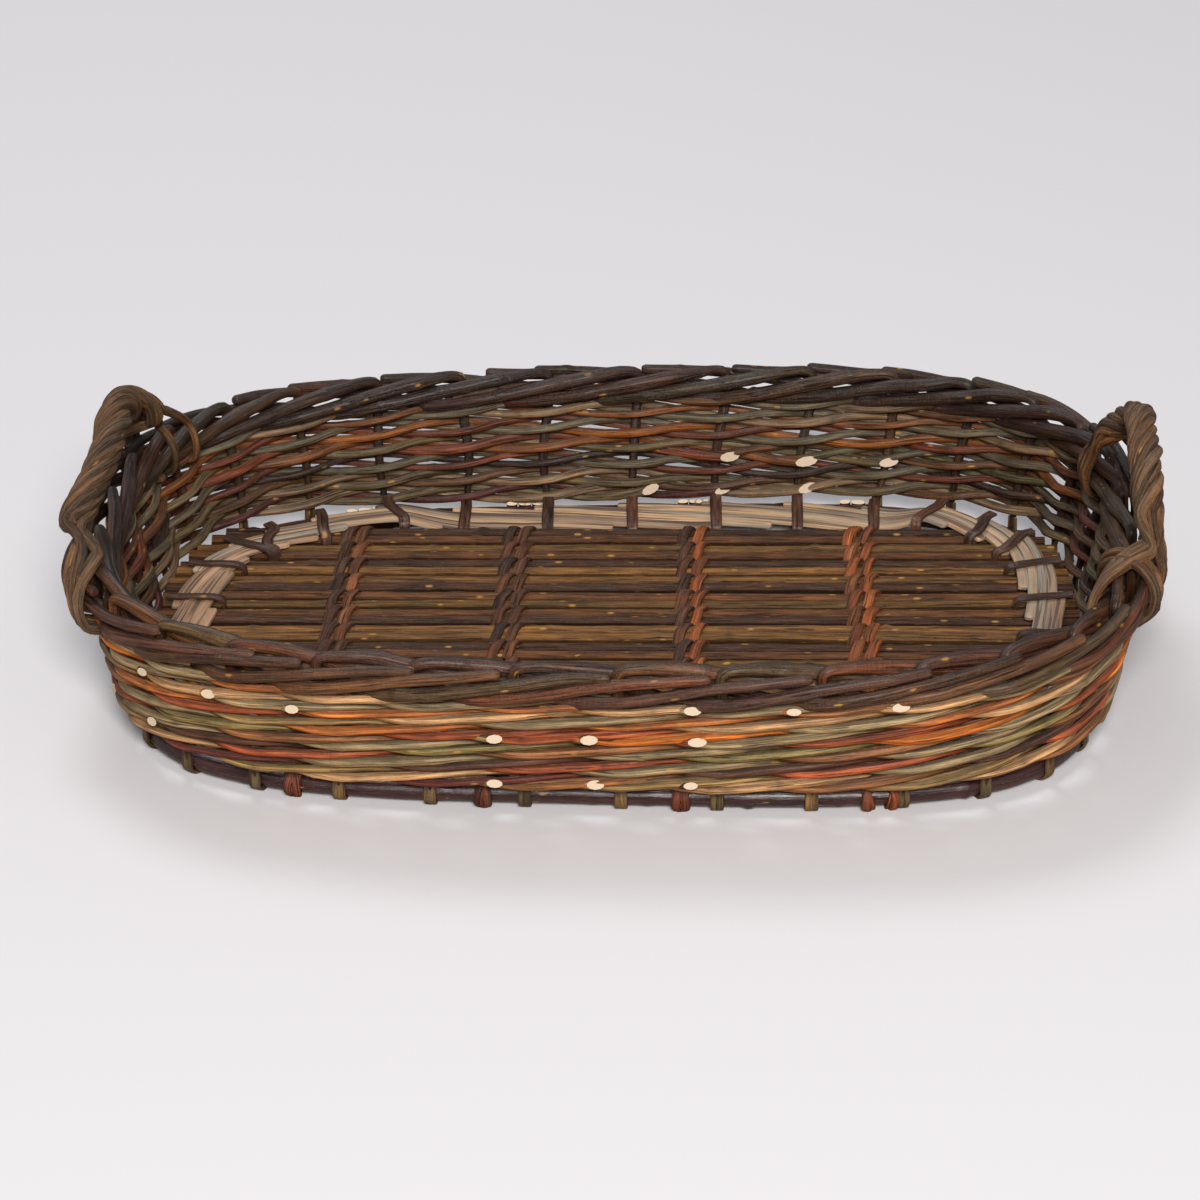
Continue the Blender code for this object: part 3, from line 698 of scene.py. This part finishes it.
class Surface:
    """A node material under construction."""

    def __init__(self, name, roughness, coat=0.0, specular=0.5):
        self.material = bpy.data.materials.new(name)
        self.material.use_nodes = True
        self.tree = self.material.node_tree
        self.shader = self.tree.nodes["Principled BSDF"]
        self.fill(self.shader, {"Roughness": roughness, "Specular IOR Level": specular})
        self.fill(self.shader, {"Coat Weight": coat, "Coat Roughness": 0.3})
        self.grain = self.node("Attribute", attribute_name="grain").outputs["Vector"]
        self.bark = self.node("Attribute", attribute_name="bark").outputs["Color"]

    def fill(self, node, inputs):
        """Set or link inputs of a node, given by place or name."""
        for key, value in inputs.items():
            if isinstance(value, bpy.types.NodeSocket):
                self.tree.links.new(value, node.inputs[key])
            else:
                node.inputs[key].default_value = value

    def node(self, kind, inputs=None, **settings):
        made = self.tree.nodes.new("ShaderNode" + kind)
        for key, value in settings.items():
            setattr(made, key, value)
        self.fill(made, inputs or {})
        return made

    def stretched(self, kind, scale, inputs=None, **settings):
        """A texture stretched along the grain: scale is around, along and across, per metre."""
        place = self.node("VectorMath", {0: self.grain, 1: scale}, operation="MULTIPLY").outputs[0]
        return self.node(kind, {"Vector": place, "Scale": 1.0, **(inputs or {})}, **settings)

    def noise(self, scale, detail=3.0, roughness=0.55):
        inputs = {"Detail": detail, "Roughness": roughness}
        return self.stretched("TexNoise", scale, inputs, noise_dimensions="3D").outputs["Fac"]

    def cells(self, scale):
        """Distance from scattered points, and each cell's own random value."""
        made = self.stretched("TexVoronoi", scale, feature="F1")
        split = self.node("SeparateColor", {0: made.outputs["Color"]})
        return made.outputs["Distance"], split.outputs[0]

    def remap(self, value, low, high, to_low=0.0, to_high=1.0):
        inputs = {"Value": value, "From Min": low, "From Max": high, "To Min": to_low, "To Max": to_high}
        return self.node("MapRange", inputs, clamp=True).outputs["Result"]

    def maths(self, operation, first, second):
        return self.node("Math", {0: first, 1: second}, operation=operation).outputs[0]

    def times(self, first, second):
        return self.maths("MULTIPLY", first, second)

    def scaled(self, colour, amount):
        """Colour times a number that varies over the surface."""
        return self.node("VectorMath", {0: colour, "Scale": amount}, operation="SCALE").outputs[0]

    def mixed(self, share, first, second, blend="MIX"):
        inputs = {"Factor": share}
        for place, value in ((6, first), (7, second)):
            inputs[place] = (*value, 1.0) if isinstance(value, tuple) else value
        return self.node("Mix", inputs, data_type="RGBA", blend_type=blend).outputs[2]

    def facing(self):
        """How far the surface faces up, from -1 to 1."""
        normal = self.node("NewGeometry").outputs["Normal"]
        return self.node("SeparateXYZ", {0: normal}).outputs["Z"]

    def finish(self, colour, height, depth):
        bump = self.node("Bump", {"Strength": 1.0, "Distance": depth, "Height": height})
        self.fill(self.shader, {"Base Color": colour, "Normal": bump.outputs["Normal"]})
        return self.material


def bark_material(name, roughness, coat, specular, painted_sheen, underside_warmth_and_bounce, specks, depth):
    """Willow bark: fibres along the rod, a painted grey sheen on upward faces, warm undersides partly painted
    as bounce light, and orange specks.
    """
    made = Surface(name, roughness, coat, specular)
    coarse = made.noise((700, 34, 1), 4.0, 0.6)
    fine = made.noise((1900, 60, 1), 3.0, 0.6)
    blotch = made.noise((150, 30, 1), 3.0)
    wrinkle = made.noise((200, 800, 1), 2.0)
    colour = made.scaled(made.bark, made.remap(coarse, 0.34, 0.66, 0.44, 1.66))
    colour = made.scaled(colour, made.remap(fine, 0.3, 0.7, 0.65, 1.35))
    pale = made.remap(blotch, 0.52, 0.7, 0.0, 0.45)
    colour = made.mixed(pale, colour, PALE_TINT, "MULTIPLY")
    dull = made.remap(blotch, 0.48, 0.32, 0.0, 0.6)
    colour = made.mixed(dull, colour, DULL_TINT, "MULTIPLY")
    # Painted sheen: a grey film on upward faces, standing in for reflected sky; painted warm bounce light,
    # partly the bark's own tint, on downward faces.
    upward = made.remap(made.facing(), 0.1, 0.95)
    downward = made.remap(made.facing(), -0.05, -0.8)
    painted_sheen_share = made.times(upward, made.remap(fine, 0.42, 0.66, 0.0, painted_sheen))
    colour = made.mixed(painted_sheen_share, colour, PAINTED_SHEEN_GREY)
    colour = made.mixed(made.times(downward, underside_warmth_and_bounce), colour, WARM_UNDERSIDE_AND_BOUNCE_TINT, "MULTIPLY")
    crack = made.remap(made.noise((1100, 26, 1), 2.0), 0.63, 0.69)
    colour = made.mixed(made.times(crack, 0.8), colour, CRACK_COLOUR)
    distance, own = made.cells((300, 110, 1))
    spot = made.times(made.remap(distance, 0.3, 0.14), made.remap(own, 1 - specks, 1.001 - specks))
    colour = made.mixed(made.times(spot, 0.8), colour, SPECK_COLOUR)
    height = made.maths("ADD", coarse, made.times(wrinkle, 0.35))
    height = made.maths("ADD", height, made.times(fine, 0.5))
    height = made.maths("SUBTRACT", height, crack)
    gloss = made.remap(blotch, 0.3, 0.7, roughness - 0.08, roughness + 0.12)
    made.fill(made.shader, {"Roughness": gloss})
    return made.finish(colour, height, depth)


def shaved_material():
    """Shaved willow: cream wood with long fibres and the odd dark groove."""
    made = Surface("shaved_willow_wood", 0.62)
    fibre = made.noise((1300, 34, 1), 5.0, 0.6)
    stain = made.noise((160, 14, 1), 3.0)
    colour = made.scaled(made.bark, made.remap(fibre, 0.3, 0.7, 0.6, 1.2))
    colour = made.mixed(made.remap(stain, 0.52, 0.72, 0.0, 0.55), colour, STAIN_COLOUR)
    groove = made.remap(made.noise((700, 9, 1), 2.0), 0.53, 0.58)
    colour = made.mixed(made.times(groove, 0.85), colour, GROOVE_COLOUR)
    return made.finish(colour, fibre, 0.0005)


def cut_material():
    """Cut end of a rod: pale wood with darker specks."""
    made = Surface("cut_willow_wood", 0.6)
    speckle = made.noise((2600, 2600, 2600), 3.0)
    colour = made.mixed(made.remap(speckle, 0.45, 0.75, 0.0, 0.6), CUT_PALE, CUT_DARK)
    return made.finish(colour, speckle, 0.0002)


def tail_lift(stake):
    """Share by which the tails have climbed from beside the base rods to over them."""
    beside_rods = np.abs(by_base(stake, TAIL_INNER, 0)[..., 1]) - FIELD_HALF_WIDTH
    return eased(np.clip((0.013 - beside_rods) / 0.012, 0, 1))


def tail_top(stake, inward):
    """Height of the tails' upper face, from their outer edge at 0 to their inner edge at 1."""
    low = TAIL_OUTER_TOP + (TAIL_INNER_TOP - TAIL_OUTER_TOP) * inward
    return low + (ROD_TOP + 0.0002 + TAIL_THICKNESS - low) * tail_lift(stake)


def hoop_side(corner, run):
    """Corner of an octagon with flats this far from the hoop's centre, as (out, height)."""
    angle = math.radians(22.5 + 45 * corner)
    radius = run / math.cos(math.radians(22.5))
    return radius * math.cos(angle), HOOP_HEIGHT + radius * math.sin(angle)


def gap_between_pairs(stake):
    """Nearest place where the tails' inner edge crosses a gap between rod pairs."""
    places = np.linspace(stake - 0.6, stake + 0.6, 241)
    across = by_base(places, TAIL_INNER + TAIL_SEAT, 0)[:, 1] / ROD_PAIR_PITCH
    gaps = np.clip(np.round(across), -ROD_PAIRS / 2, ROD_PAIRS / 2)
    return float(places[(np.abs(across - gaps) + 0.02 * np.abs(places - stake)).argmin()])


def hoop(bark, cut):
    piece = Piece("hoop_rod")
    stake = np.linspace(20.4, 20.4 + STAKES, 420)
    path = by_hoop(stake, 0.0, HOOP_HEIGHT)
    piece.tube(path, 2 * HOOP_RADIUS, 2 * HOOP_RADIUS, HOOP_COLOUR, sides=20, rough=0.02)
    piece.build(bark, cut, "hoop_bark", ["frame_hoop"])


def strap_stops(number):
    """Stops along the middle of one stake's strap, each with its share of the strap's width."""
    seat_y = abs(by_base(number, TAIL_INNER + TAIL_SEAT, 0)[1])
    over_rods = seat_y < FIELD_HALF_WIDTH + 0.75 * STRAP_WIDTH
    cut_in = float(corner_cut(number))
    crossing = number
    if LEANING_STAKES[0] < number < LEANING_STAKES[1]:
        crossing = number + STRAP_LEAN * cut_in * np.sign(number - STAKES / 2)
    if over_rods:
        crossing = gap_between_pairs(crossing)
    start = -TAIL_SETBACK - cut_in
    edge = -TAIL_INNER - 0.0015 - float(corner_cut(crossing))
    outer = tail_top(number, 0) + STRAP_THICKNESS / 2
    inner = tail_top(crossing, 1) + STRAP_THICKNESS / 2
    low = ROD_UNDERSIDE - 0.003 if over_rods else tail_top(crossing, 1) - TAIL_THICKNESS - 0.002
    stops = [
        (number, start + 0.0035, outer + 0.0008, 1.0),
        (number, start - 0.003, outer + 0.0002, 1.0),
        ((number + crossing) / 2, (edge + start) / 2, (outer + inner) / 2 + 0.0006, 1.0),
        (crossing, edge + 0.004, inner + 0.0006, 1.0),
        (crossing, edge - 0.0006, inner - 0.001, 0.95),
    ]
    if over_rods:
        stops.append((crossing, edge - 0.0012, (inner + low) / 2, 0.42))
    stops.append((crossing, edge - 0.0002, low, 0.9))
    stops.append((number, -0.5 * TAIL_INNER, 0.5 * low, 1.0))
    stops += [(number, *hoop_side(corner, STRAP_RUN), 1.0) for corner in (-3, -2, -1, 0)]
    stops.append((number, STRAP_RUN, STAKE_FOOT_HEIGHT + 0.003, 0.9))
    return np.array([[*by_hoop(place, out, height), share] for place, out, height, share in stops])


def strap(piece, number):
    """The stake's shaved end, over the tails and round the hoop, dark inside and olive outside."""
    stops = strap_stops(number)
    path = smooth(stops[:, :3], 0.0018)
    share = np.interp(np.linspace(0, 1, len(path)), np.linspace(0, 1, len(stops)), stops[:, 3])
    outward = np.clip(np.linspace(-1.2, 2.2, len(path)), 0, 1)[:, None]
    inner, outer = np.array(PALETTE["purple_brown"]), 1.5 * np.array(PALETTE["border_olive"])
    colour = inner * (1 - outward) + outer * outward
    across = along_hoop(number, len(path))
    piece.tube(path, STRAP_WIDTH * share, STRAP_THICKNESS, colour, across, 12, 0.55, scars=False, tone=0.2)


def stake(number, bark, cut):
    """One stake: its strap, its upright and its rod in the border."""
    piece = Piece(f"stake_{number + 1:02d}_rod")
    rng = piece.rng
    colour = np.array(PALETTE[STAKE_COLOURS[(number * 5) % len(STAKE_COLOURS)]]) * rng.uniform(0.85, 1.2)
    strap(piece, number)
    lean = rng.normal(0, STAKE_LEAN)
    points = [by_wall(number, 0.0, STAKE_FOOT_HEIGHT - 0.004), by_wall(number + 0.5 * lean, 0.0, 0.04)]
    stretch = 1 + rng.normal(0, BORDER_STRETCH)
    for onward, out, up in BORDER_WEAVE:
        place = number + onward * (stretch if onward > 1 else 1)
        loose = rng.normal(0, BORDER_LOOSENESS, 2) if onward > 0.3 else (0, 0)
        points.append(by_rim(place, out * BORDER_HALF_WIDTH + loose[0], up * BORDER_HALF_HEIGHT + loose[1]))
    path = smooth(points, 0.0026)
    along = np.linspace(0, 1, len(path))
    thick = np.interp(along, STAKE_TAPER_PLACES, STAKE_TAPER) * rng.uniform(0.94, 1.06)
    # Painted light on faces turned outward and a little up, painted shade on those turned inward and in the
    # creases.
    sun = raised(rim_line.at(number + BORDER_RUN * np.clip(1.25 * along - 0.25, 0, 1))[1], 0.1)
    piece.tube(path, thick, thick, colour, ends=ROUND_ENDS, tone=0.16, rough=0.045, sun=sun)
    piece.build(bark, cut, "stake_bark", [f"stake_{number + 1:02d}"])


def tail(number, bark, cut):
    """One shaved tail, from beside its own strap to the inner edge of the bundle."""
    piece = Piece(f"shaved_tail_{number + 1:02d}")
    rng = piece.rng
    reach = TAIL_REACH + rng.uniform(-0.45, 0.35)
    back = np.linspace(-0.15, reach, 40)
    lane = np.clip(0.5 + back * (TAIL_LANES - 1) / TAIL_REACH, 0.5, TAIL_LANES - 0.5)
    lane = lane + 0.12 * wander(rng, (back - back[0]) * 0.05, 0.04)
    place = number - back
    inward = lane / TAIL_LANES
    height = tail_top(place, inward) - TAIL_THICKNESS / 2 - 0.0002 + 0.0003 * rng.normal()
    path = by_base(place, TAIL_SETBACK + lane * TAIL_LANE, height)
    normal = hoop_line.at(place)[1]
    slope = (TAIL_OUTER_TOP - TAIL_INNER_TOP) / (TAIL_LANES * TAIL_LANE) * (1 - tail_lift(place))
    across = unit(np.concatenate([normal, slope[:, None]], 1))
    colour = np.array(PALETTE["cream" if rng.uniform() < 0.6 else "pink_cream"]) * rng.uniform(0.85, 1.05)
    width = TAIL_LANE * np.linspace(0.86, rng.uniform(0.88, 1.06), len(path))
    piece.tube(path, width, TAIL_THICKNESS, colour, across, 12, 0.5, ROUND_ENDS, False, tone=0.12, rough=0.05)
    piece.build(bark, cut, "shaved_willow", ["shaved_tail_ring"], 35)


def rod_end(y, side):
    """Where a base rod ends along X, just past the hoop's middle at the rod's shorter edge."""
    edges = [abs(hoop_line.reach(y + edge * ROD_DIAMETER / 2, side)) for edge in (-1, 1)]
    return side * (min(edges) + ROD_END_REACH)


def base_rod(number, bark, cut):
    """One base rod of its pair, slightly bent and tapered."""
    pair, side = divmod(number, 2)
    piece = Piece(f"base_rod_{number + 1:02d}")
    rng = piece.rng
    y = (pair - (ROD_PAIRS - 1) / 2) * ROD_PAIR_PITCH + (side - 0.5) * ROD_DIAMETER
    x = np.linspace(rod_end(y, -1), rod_end(y, 1), 120)
    along = x - x[0]
    sway = y + 0.0005 * wander(rng, along, 0.09)
    path = np.stack([x, sway, ROD_HEIGHT + 0.0004 * wander(rng, along, 0.08)], -1)
    thick = ROD_DIAMETER * np.linspace(1.07, 0.9, len(x))[:: rng.choice((-1, 1))]
    colour = np.array(PALETTE[BASE_COLOURS[(number * 3) % len(BASE_COLOURS)]]) * rng.uniform(0.85, 1.15)
    # Painted light on the tops of the base rods, painted shade on their undersides and in the creases between
    # them.
    piece.tube(path, thick, thick, colour, sides=16, tone=0.14, rough=0.02, sun=np.array((0, 0, 1.0)))
    piece.build(bark, cut, "base_rod_bark", [f"base_rod_pair_{pair + 1:02d}"])


def column_stops(x, strand, rng):
    """Points of one strap of a column, over and under the base rods from near to far."""
    stops = []
    for gap in range(ROD_PAIRS + 1):
        y = (gap - ROD_PAIRS / 2) * ROD_PAIR_PITCH
        way = 1 if (gap + strand) % 2 == 0 else -1
        height = ROD_HEIGHT + way * (ROD_DIAMETER / 2 + BAND_LIFT)
        slant = way * BAND_SLANT
        stops.append((x - slant, y, ROD_HEIGHT))
        if gap < ROD_PAIRS:
            for share, crown in ((0.28, 0), (0.5, way * BAND_CROWN), (0.72, 0)):
                place = x + slant * (2 * share - 1) + rng.normal(0, 0.0004)
                stops.append((place, y + share * ROD_PAIR_PITCH, height + crown))
    return stops


def hooked(stops):
    """The same strap with its ends led under the tails and round the hoop."""
    near = hoop_line.stake_at(stops[0][0], -1)
    far = hoop_line.stake_at(stops[-1][0], 1)
    before = [by_hoop(near, *hoop_side(3, BAND_RUN)), by_hoop(near, -TAIL_INNER, 0.008)]
    after = [by_hoop(far, -TAIL_INNER, 0.008)]
    after += [by_hoop(far, *hoop_side(corner, BAND_RUN)) for corner in (-3, -2, -1, 0, 1)]
    return np.array([*before, *stops, *after])


def band(number, bark, cut):
    """One cross band: two twined columns over the base rods, each with a knot round the near hoop."""
    low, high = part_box(f"cross_band_{number + 1}")
    middle = (low.x + high.x) / 2 + BAND_SHIFTS[number]
    slot = "brown_band_bark" if number < 2 else "orange_band_bark"
    for side, hand, colour in zip((-1, 1), ("left", "right"), BAND_COLOURS[number]):
        piece = Piece(f"cross_band_{number + 1}_{hand}_column")
        for strand in (0, 1):
            path = smooth(hooked(column_stops(middle + side * BAND_HALF_PITCH, strand, piece.rng)), 0.002)
            across = np.tile((1.0, 0.0, 0.0), (len(path), 1))
            shade = np.array(PALETTE[colour]) * piece.rng.uniform(0.8, 1.25)
            piece.tube(path, BAND_WIDTH, BAND_THICKNESS, shade, across, 10, 0.8, scars=False, tone=0.3,
                       rough=0.1)
        knot(piece, KNOT_PLACES[number] + side * KNOT_SPREADS[number] / 2, side, colour)
        piece.build(bark, cut, slot, [f"cross_band_{number + 1}"])


def knot(piece, x, side, colour):
    """A strap end wound round the near hoop and tucked across itself."""
    middle = hoop_line.stake_at(x, -1)
    turns = np.linspace(-0.7, 1.15, 44)
    angle = 2 * math.pi * turns
    run = HOOP_RADIUS + 0.0013 + 0.0011 * np.clip(turns, 0, 1)
    place = middle + side * 0.035 * np.sin(2.6 * math.pi * turns)
    path = evenly(by_hoop(place, run * np.cos(angle), HOOP_HEIGHT + run * np.sin(angle)), 0.0015)
    across = along_hoop(middle, len(path), 0.25 * side)
    shade = 0.6 * np.array(PALETTE[colour]) + 0.5 * np.array(PALETTE["maroon"])
    piece.tube(path, KNOT_WIDTH, BAND_THICKNESS, shade, across, 10, 0.8, scars=False, tone=0.3, rough=0.15)


def round_height(place):
    """Height of a round's lowest layer at this place from the start, with its step up."""
    number = WALE_START_STAKE + place
    turns, rest = np.divmod(place - WALE_STEP_DELAY, STAKES)
    step = eased(np.clip((rest - STAKES + WALE_STEP_STAKES) / WALE_STEP_STAKES, 0, 1))
    level = np.maximum(turns + WALE_DRIFT * rest / STAKES + (1 - WALE_DRIFT) * step, 0)
    tilt = WALE_TILT * np.cos(2 * math.pi * number / STAKES)
    lift = WALE_CORNER_LIFT * near_corner(number) * (1 - level / WALE_ROUNDS)
    return WALE_START_HEIGHT + tilt + lift + 2 * WALE_PITCH * level


def stroke(place, strand):
    """Out and layers of a strand at these places, on a smooth line through the stroke's points."""
    phase = ((place - strand) % WALE_STRANDS) * 2
    base = np.floor(phase).astype(int)
    t = (phase - base)[..., None]
    table = np.array(WALE_STROKE)
    a, b, c, d = (table[(base + i) % len(table)] for i in (-1, 0, 1, 2))
    return (2 * b + (c - a) * t + (2 * a - 5 * b + 4 * c - d) * t**2 + (3 * b - a - 3 * c + d) * t**3) / 2


def own_stake(place, strand):
    """The first stake from this place on that the strand passes in its own turn."""
    return place + (strand + 2 - place) % WALE_STRANDS


def wale_path(strand, index, begin, end, rng):
    """Centreline of one rod, with its butt led inwards and its tip led out and up."""
    places = np.r_[np.arange(begin, end, 0.07), end]
    out, layers = stroke(places, strand).T
    opening = np.clip(1 - (places - begin) / 0.75, 0, 1)
    closing = np.clip(1 - (end - places) / 0.42, 0, 1) * (index < len(WALE_RODS) - 1)
    along = (places - begin) * 0.045
    swing = out * WALE_SWING + 0.0007 * wander(rng, along, 0.05) - 0.003 * opening**1.5 + 0.0066 * closing
    height = round_height(places) + layers * WALE_PITCH + 0.0008 * wander(rng, along, 0.06)
    height += (0.0026 if index == 0 else -0.002) * opening + 0.0036 * closing
    return smooth(by_wall(WALE_START_STAKE + places, swing, height), 0.003)


def wale_rod(strand, index, bark, cut):
    """One rod of the waling: its butt inside, its strokes round the stakes, its end cut off outside."""
    place, colours = WALE_RODS[index]
    last_set = index == len(WALE_RODS) - 1
    piece = Piece(f"wale_rod_{index * WALE_STRANDS + strand + 1:02d}")
    rng = piece.rng
    begin = own_stake(place, strand) - rng.uniform(0.0, 0.25)
    end = own_stake(WALE_FINISH if last_set else WALE_RODS[index + 1][0], strand)
    end += 0.1 if last_set else rng.uniform(0.7, 0.8)
    path = wale_path(strand, index, begin, end, rng)
    thick = WALE_DIAMETER * rng.uniform(0.86, 1.16) * np.linspace(1.08, 0.9, len(path))
    normals = hoop_line.at(WALE_START_STAKE + np.linspace(begin, end, len(path)))[1]
    butt = (*-normals[0], 0.15)
    tip = "cut" if last_set else (*normals[-1], 0.25)
    colour = np.array(PALETTE[colours[strand]]) * rng.uniform(0.9, 1.12)
    # Painted light on faces turned outward, painted shade on those turned inward and in the creases between
    # rows.
    sun = raised(normals, 0.15)
    piece.tube(path, thick, thick, colour, ends=(butt, tip), sides=10, tone=0.2, rough=0.05, sun=sun)
    part = "lower" if index < WALE_LOWER_SETS else "upper"
    slot = ("orange_wale_bark", "olive_wale_bark", "red_wale_bark")[strand]
    piece.build(bark, cut, slot, [f"{part}_wale_strand_{strand + 1}"])


def rope_foot(place, way, shift, side, shape):
    """Points of one strand that works round the border, away from the handle."""
    reach = side * ROPE_SETBACK
    return [by_rim(place + way * (shift + onward), out * reach, height) for onward, out, height in shape]


def rope_core(front, back, top):
    """Middle of a rope from its front foot to its back foot."""
    stops = (
        (0.0, ROPE_SETBACK, 0.1),
        (0.12, 0.5 * ROPE_SETBACK, 0.44),
        (0.27, (0.4 * ROPE_SETBACK + 3 * top) / 4, 0.76),
        (0.42, top, 0.95),
        (0.57, top, 1.02),
        (0.73, top, 0.9),
        (0.88, (top - ROPE_SETBACK) / 2, 0.58),
        (1.0, -0.7 * ROPE_SETBACK, 0.1),
    )
    points = [by_rim(front + (back - front) * share, out, up * HANDLE_RISE) for share, out, up in stops]
    return smooth(points, 0.002)


def handle(side, bark, cut):
    """A rope handle: its strands twist round each other on top and part at both feet."""
    front, back, top = HANDLES[side]
    way = math.copysign(1, back - front)
    core = rope_core(front, back, top)
    tangents = unit(np.gradient(core, axis=0))
    across = carried_sides(tangents, np.cross(tangents[0], (0, 0, 1.0)))
    up = np.cross(tangents, across)
    length = lengths(core)
    skip = int(ROPE_PARTS_AT[side] * len(core))
    filler = Piece(f"{side}_handle_core_rod")
    thick = ROPE_CORE_DIAMETER
    filler.tube(core[skip:-skip], thick, thick, PALETTE["dark_brown"], ends=ROUND_ENDS, scars=False)
    filler.build(bark, cut, "handle_bark", [f"{side}_rope_handle"])
    for strand, (front_foot, back_foot, leave) in enumerate(ROPE_FEET[side]):
        piece = Piece(f"{side}_handle_strand_{strand + 1}")
        rng = piece.rng
        angle = 2 * math.pi * (strand / len(ROPE_FEET[side]) + length / ROPE_TWIST_PITCH)
        radius = ROPE_RADIUS * (1 + 0.16 * wander(rng, length, 0.03))
        rope = core + (across * np.cos(angle)[:, None] + up * np.sin(angle)[:, None]) * radius[:, None]
        lead = rope_foot(front, -way, *front_foot)[::-1]
        trail = rope_foot(back, way, *back_foot)
        path = smooth(np.concatenate([lead, rope[skip : int(leave * len(rope)) : 3], trail]), 0.0026)
        taper = np.interp(np.linspace(0, 1, len(path)), (0, 0.15, 0.8, 1), (0.85, 1.0, 0.95, 0.75))
        colour = np.array(PALETTE[ROPE_COLOURS[strand % len(ROPE_COLOURS)]]) * rng.uniform(0.85, 1.2)
        thick = ROPE_STRAND_DIAMETER * taper * rng.uniform(0.9, 1.1)
        piece.tube(path, thick, thick, colour, ends=ROUND_ENDS, tone=0.22, rough=0.08)
        piece.build(bark, cut, "handle_bark", [f"{side}_rope_handle"])


def camera():
    data = bpy.data.cameras.new("camera")
    data.lens = LENS
    data.sensor_width = SENSOR
    data.clip_end = 50
    obj = placed("camera", data)
    turn = Matrix.Rotation(CAMERA_YAW, 4, "Z") @ Matrix.Rotation(math.pi / 2 - CAMERA_PITCH, 4, "X")
    obj.matrix_world = Matrix.Translation(CAMERA_PLACE) @ turn @ Matrix.Rotation(CAMERA_ROLL, 4, "Z")
    bpy.context.scene.camera = obj


def lamp(name, place, target, size, power, colour):
    data = bpy.data.lights.new(name, "AREA")
    data.shape = "DISK"
    data.size = size
    data.energy = power
    data.color = colour
    obj = placed(name, data)
    obj.location = place
    obj.rotation_euler = (Vector(target) - Vector(place)).to_track_quat("-Z", "Y").to_euler()


def sky():
    world = bpy.data.worlds.new("studio")
    world.use_nodes = True
    background = world.node_tree.nodes["Background"]
    background.inputs["Color"].default_value = (*SKY_COLOUR, 1)
    background.inputs["Strength"].default_value = SKY_STRENGTH
    bpy.context.scene.world = world


def floor_material():
    """Pale floor that looks lighter to the camera than to the light that it sends back."""
    made = Surface("floor", 0.7)
    seen = made.node("LightPath").outputs["Is Camera Ray"]
    made.fill(made.shader, {"Base Color": made.mixed(seen, BOUNCE_COLOUR, FLOOR_COLOUR)})
    return made.material


def studio():
    sky()
    mesh = bpy.data.meshes.new("floor")
    mesh.from_pydata(FLOOR_CORNERS, [], [(0, 1, 2, 3)])
    mesh.materials.append(floor_material())
    floor = placed("floor", mesh)
    floor.location.z = CAD_BOX[0][2] - FLOOR_GAP
    for name, settings in LAMPS.items():
        lamp(name, *settings)


def build():
    cut = cut_material()
    shaved = shaved_material()
    barks = {name: bark_material(name, *finish) for name, finish in BARKS.items()}
    hoop(barks["hoop_bark"], cut)
    for number in range(STAKES):
        stake(number, barks["border_bark"], cut)
        tail(number, shaved, cut)
    for number in range(2 * ROD_PAIRS):
        base_rod(number, barks["base_rod_bark"], cut)
    for number in range(len(BAND_SHIFTS)):
        band(number, barks["band_bark"], cut)
    for index in range(len(WALE_RODS)):
        for strand in range(WALE_STRANDS):
            wale_rod(strand, index, barks["willow_bark"], cut)
    for side in HANDLES:
        handle(side, barks["rope_bark"], cut)


build()
studio()
camera()
view = bpy.context.scene.view_settings
view.view_transform = "Standard"
